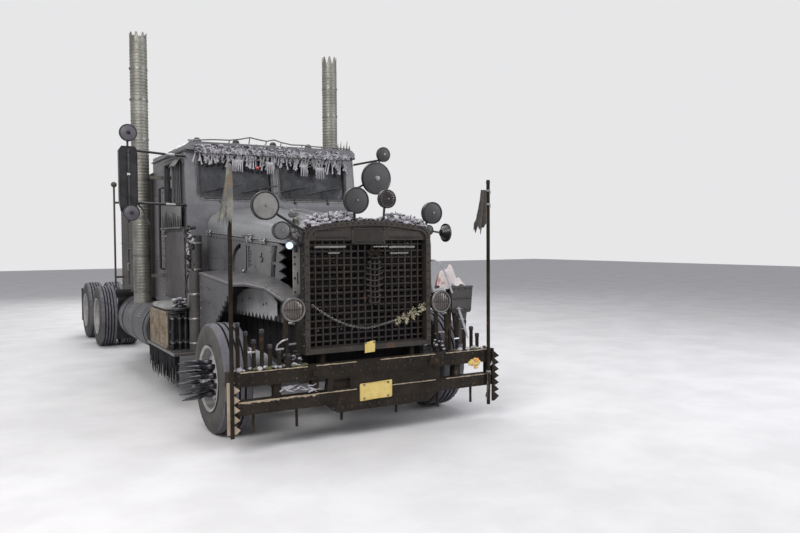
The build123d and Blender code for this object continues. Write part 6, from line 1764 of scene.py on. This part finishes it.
build(m, "sleeper_trim", "chassis", ["sleeper", "steel", "pipe", "bright", "lens"], bevel=0.001)

# Frame: rivets, cross-member plates, deck tread, tail lamps, flap hangers
m = Mesh()
for sx in (-1, 1):
    for y in list(range(-560, 1400, 118)) + list(range(1500, 8540, 118)):
        for z in (734, 936):
            m.bolt(T(sx * 430, y, z), (sx, 0, 0), 0.0095, 0.007, 1)
    for y in (5180, 5900, 6250, 7050, 7500, 8350):
        m.slab(sx, (431, 437), (y - 60, y + 60), (752, 918), 0, 0.003)
        for dy in (-38, 38):
            for z in (782, 888):
                m.bolt(T(sx * 437, y + dy, z), (sx, 0, 0), 0.009, 0.008, 1)
    for y in (4850, 5150, 5450):
        ring(m, T(sx * 600, y, 800), BACK, 0.1262, 0.0035, 0, 36, 6)
    m.bolt(T(sx * 600, 5552, 800), BACK, 0.022, 0.014, 1)
    x0 = sx * 500
    for dx, mi in ((-76, 2), (0, 2), (76, 3)):
        m.lathe(T(x0 + dx, 8575, 700), BACK, [(-0.012, 0.0), (-0.012, 0.034), (0.006, 0.036), (0.014, 0.033),
                                              (0.010, 0.031)], 26, 0)
        m.lathe(T(x0 + dx, 8575, 700), BACK, [(0.010, 0.031), (0.017, 0.022), (0.021, 0.010), (0.022, 0.0)], 26, mi)
        m.box(T(x0 + dx - 16, 8564, 700), T(x0 + dx + 16, 8572, 741), 0, 0.001)
    m.slab(sx, (650, 1230), (8523, 8528), (800, 850), 0, 0.002)
    for k in range(6):
        m.bolt(T(sx * (690 + 102 * k), 8528, 825), BACK, 0.009, 0.007, 1)
    m.slab(sx, (660, 1220), (8523, 8527), (268, 310), 4, 0.002)
    for k in range(5):
        m.slab(sx, (680 + 110 * k, 690 + 110 * k), (8522, 8525), (330, 790), 4, 0.001)
build(m, "frame_trim", "chassis", ["frame", "steel", "red", "amber", "plastic"], bevel=0.001)

# Fifth wheel: grease grooves, jaw, bolts and a release handle
FIFTH_Y = 7290
m = Mesh()
for k, r in enumerate((0.17, 0.22, 0.27)):
    pts = [T(1000 * r * math.cos(a), FIFTH_Y + 1000 * r * math.sin(a), 1230.5)
           for a in (math.radians(d) for d in range(-70, 251, 8))]
    m.tube(pts, 0.0035, 6, 1)
for k in range(14):
    a = 2 * PI * (k + 0.5) / 14
    if not 1.1 < (a % (2 * PI)) < 2.05:
        m.bolt(T(410 * math.cos(a), FIFTH_Y + 410 * math.sin(a), 1230), UP, 0.013, 0.007, 0)
ring(m, T(0, FIFTH_Y, 1222), UP, 0.062, 0.014, 1, 36, 8)
m.tube([T(-120, 7200, 1178), T(-300, 7205, 1176), T(-395, 7210, 1172), T(-425, 7212, 1150)], 0.010, 8, 0)
build(m, "fifth_wheel_trim", "fifth_wheel", ["steel", "pipe"], bevel=0.001)

# Engine covers, pipes, fan and belt wheels, which show with the lids open
m = Mesh()
for sx in (-1, 1):
    m.slab(sx, (60, 240), (20, 1190), (1638, 1700), 0, 0.010)
    for k in range(12):
        y = 60 + 96 * k
        m.slab(sx, (62, 238), (y, y + 40), (1700, 1712), 0, 0.004)
        m.bolt(T(sx * 246, y + 20, 1650), UP, 0.008, 0.010, 1)
    for k in range(6):
        y = 130 + 180 * k
        m.tube([T(sx * 288, y, 1520), T(sx * 350, y, 1500), T(sx * 372, y, 1430)], 0.034, 12, 2)
    m.tube([T(sx * 378, 60, 1410), T(sx * 380, 600, 1405), T(sx * 372, 1180, 1400)], 0.048, 14, 2)
    for k in range(8):
        m.bolt(T(sx * 290, 60 + 150 * k, 1180), (sx, 0, 0), 0.013, 0.012, 1)
m.tube([T(0, 30, 1760), T(0, 600, 1768), T(0, 1160, 1760)], 0.050, 16, 3)
for y in (200, 600, 1000):
    ring(m, T(0, y, 1764), BACK, 0.052, 0.006, 1, 26, 6)
m.lathe(T(0, -62, 1250), FRONT, [(0.0, 0.07), (0.10, 0.07), (0.11, 0.05), (0.20, 0.05), (0.21, 0.0)], 26, 1)
for k in range(8):
    a = 2 * PI * k / 8
    blade = []
    for r in (60, 150, 250, 330):
        blade.append([T(r * math.cos(a + w), -232 - 90 * (w - 0.11) * 2.2, 1250 + r * math.sin(a + w))
                      for w in (0.0, 0.11, 0.22)])
    m.sheet(blade, 2, 0.004)
for x, z, r in ((0, 1250, 0.13), (170, 1440, 0.075), (-180, 1060, 0.085)):
    m.lathe(T(x, -64, z), FRONT, [(0.0, 0.0), (0.0, r), (0.008, r), (0.014, r * 0.86), (0.022, r * 0.86), (0.028, r),
                                  (0.036, r), (0.036, 0.0)], 30, 1)
build(m, "engine_dress", "chassis", ["iron", "steel", "pipe", "bright"], angle=45)

# Dashboard: dials, switches and a glove lid
DASH_Y = 1800
m = Mesh()
for x, z, r in ((400, 1950, 0.040), (500, 1965, 0.056), (620, 1965, 0.056), (300, 1945, 0.032), (240, 1945, 0.032),
                (400, 1860, 0.026), (640, 1860, 0.026)):
    m.lathe(T(x, DASH_Y, z), BACK, [(0.0, r * 1.05), (0.008, r * 1.08), (0.012, r), (0.008, r * 0.93)], 28, 0)
    m.lathe(T(x, DASH_Y, z), BACK, [(0.006, r * 0.94), (0.0062, 0.0)], 28, 1)
    m.box(T(x - 1.6, 1807, z - 2), T(x + 1.6, 1809, z + r * 800), 2)
for k in range(9):
    m.bolt(T(120 + 34 * k, DASH_Y, 1790), BACK, 0.007, 0.016, 0)
m.tube([T(x, 1803, z) for x, z in rounded(-760, -260, 1780, 1950, 24)], 0.004, 6, 1, loop=True)
m.tube([T(-700, DASH_Y, 2010), T(-690, 1840, 2012), T(-330, 1840, 2012), T(-320, DASH_Y, 2010)], 0.012, 8, 0)
for k in range(7):
    m.box(T(-120, DASH_Y, 1890 + 18 * k), T(90, 1806, 1897 + 18 * k), 1, 0.001)
build(m, "dash_trim", "chassis", ["steel", "plastic", "pale"])

# Seats: crowned cushions and backs with piping and sewn channels, on dark bases
seat_parts = []
base = Mesh()
for side, sx in SIDES.items():
    cx = sx * 520
    base.box(T(cx - 200, 2350, 1060), T(cx + 200, 2800, 1112), 0, 0.006)
    base.box(T(cx - 150, 2400, 1112), T(cx + 150, 2750, 1350), 1, 0.01)
    for z in range(1130, 1340, 34):
        base.box(T(cx - 156, 2394, z), T(cx + 156, 2756, z + 14), 1, 0.004)
    base.box(T(cx - 235, 2300, 1352), T(cx + 235, 2820, 1398), 0, 0.008)
    base.box(T(cx - 210, 2860, 1380), T(cx + 210, 2900, 1560), 0, 0.006)
    base.tube([T(cx + sx * 240, 2460, 1380), T(cx + sx * 262, 2430, 1380)], 0.010, 8, 0)
    seat_parts.append(bag(f"seat_cushion_{side}", "seat", "seat_fabric", (cx, 2560, 1474), (240, 268, 66), 0.75,
                          n=64, k=26, square=5.0, lumps=0.012, seed=21, foot=0.08))
    lean = math.radians(8)

    def upright(v):
        p = (v - T(0, 0, 0)) * 1000
        return tuple(T(cx + p.x, 2845 - p.z * math.cos(lean) + p.y * math.sin(lean),
                       1885 + p.y * math.cos(lean) + p.z * math.sin(lean)))

    seat_parts.append(bag(f"seat_back_{side}", "seat", "seat_fabric", (0, 0, 0), (228, 330, 72), 0.75, upright,
                          n=64, k=26, square=4.6, lumps=0.012, seed=22, foot=0.12))
    piping = Mesh()
    edge = []
    for j in range(56):
        a = 2 * PI * j / 56
        d = (abs(math.cos(a)) ** 5 + abs(math.sin(a)) ** 5) ** (-1 / 5)
        edge.append((238 * d * math.cos(a), 266 * d * math.sin(a)))
    piping.tube([T(cx + x, 2560 + y, 1500) for x, y in edge], 0.005, 6, 0, loop=True)
    for k in (-2, -1, 0, 1, 2):
        piping.tube([T(cx + 84 * k, 2340 + 44 * i, 1540 - 0.3 * (84 * k / 40) ** 2 - 5 * ((i - 5) / 5) ** 2)
                     for i in range(11)], 0.0035, 6, 0)
        piping.tube([T(cx + 78 * k, 2777 + (-300 + 60 * i) * math.sin(lean) - 4,
                       1885 + (-300 + 60 * i) * math.cos(lean)) for i in range(1, 10)], 0.0035, 6, 0)
    piping.tube([T(cx + 0.95 * x, 2822 + 1.2 * y * math.sin(lean), 1885 + 1.22 * y * math.cos(lean)) for x, y in edge],
                0.005, 6, 0, loop=True)
    o = build(piping, f"seat_piping_{side}", "chassis", ["plastic"])
    seat_parts.append(o)
seat_parts.append(build(base, "seat_bases", "chassis", ["pipe", "plastic"]))
for o in seat_parts:
    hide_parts("seats")

# Dark liners inside the front fenders and a pan under the grille: dark sheets put in as painted shade over the floor
# seen under the engine
m = Mesh()
m.box(T(-600, -650, 628), T(600, -646, 968), 0, 0.002)
for x in range(-560, 561, 112):
    m.bolt(T(x, -650, 948), FRONT, 0.007, 0.004, 1)
    m.tube([T(x, -650, 650), T(x, -653, 780), T(x, -650, 920)], 0.006, 6, 0)
for sx in (-1, 1):
    m.slab(sx, (592, 596), (-640, 1120), (640, 1030), 0, 0.001)
    for y in range(-580, 1120, 180):
        m.slab(sx, (596, 603), (y, y + 26), (660, 1020), 0, 0.002)
        m.bolt(T(sx * 604, y + 13, 990), (sx, 0, 0), 0.007, 0.004, 1)
build(m, "painted_shade_liners", "chassis", ["groove", "steel"])

# Flat pale scraps over the visor's board and a heap along its top edge
m = Mesh()
for i in range(210):
    x = rnd.uniform(-925, 925)
    z = rnd.uniform(2714, 2768)
    a = rnd.uniform(-0.5 * PI, 0.5 * PI)
    h, w = rnd.uniform(14, 34), rnd.uniform(4.5, 8.5)
    c, s = math.cos(a), math.sin(a)
    rim = [(-h, -w), (-h * 0.5, -w * 0.55), (h * 0.5, -w * 0.55), (h, -w), (h, w), (h * 0.5, w * 0.55),
           (-h * 0.5, w * 0.55), (-h, w)]
    near = [T(x + p * c - q * s, 1483.2 + rnd.uniform(0, 0.8), max(2700, min(2774, z + p * s + q * c))) for p, q in rim]
    far = [v + Vector((0, 0.0035, 0)) for v in near]
    m.add(near + far, prism_faces(8), 0 if i % 5 else 1)
for i in range(150):
    x = rnd.uniform(-925, 925)
    y = rnd.uniform(1500, 1545)
    tall = rnd.random() ** 1.6 * (46 if -260 < x < 420 else 24)
    if rnd.random() < 0.5:
        m.ball(T(x, y, 2776 + tall), rnd.uniform(0.009, 0.017), (1.4, 1, 0.8), 8, 0, 0.15, rnd)
    else:
        a = rnd.uniform(0, PI)
        h = rnd.uniform(16, 40)
        m.tube([T(x - h * math.cos(a), y, 2778 + tall),
                T(x + h * math.cos(a), y + 6, 2778 + tall + h * 0.7 * math.sin(a))], 0.0065, 6, 0 if i % 4 else 1)
build(m, "visor_litter", "chassis", ["bone", "pipe"], angle=60)

# Bright lines under and beside the panes
m = Mesh()
for sx in (-1, 1):
    for z, r, x0, x1 in ((2209, 0.0055, 70, 870), (2196, 0.004, 90, 800)):
        m.tube([T(sx * (x0 + (x1 - x0) * k / 8), max(1487, screen_y(z) - 7), z) for k in range(9)], r, 8, 0)
    m.tube([T(sx * 886, max(1487, screen_y(2240) - 6), 2236), T(sx * 889, max(1487, screen_y(2400) - 6), 2400)],
           0.0045, 8, 0)
build(m, "windshield_lines", "chassis", ["bright"])

# Plain view transform for the render
bpy.context.scene.view_settings.view_transform = "Standard"
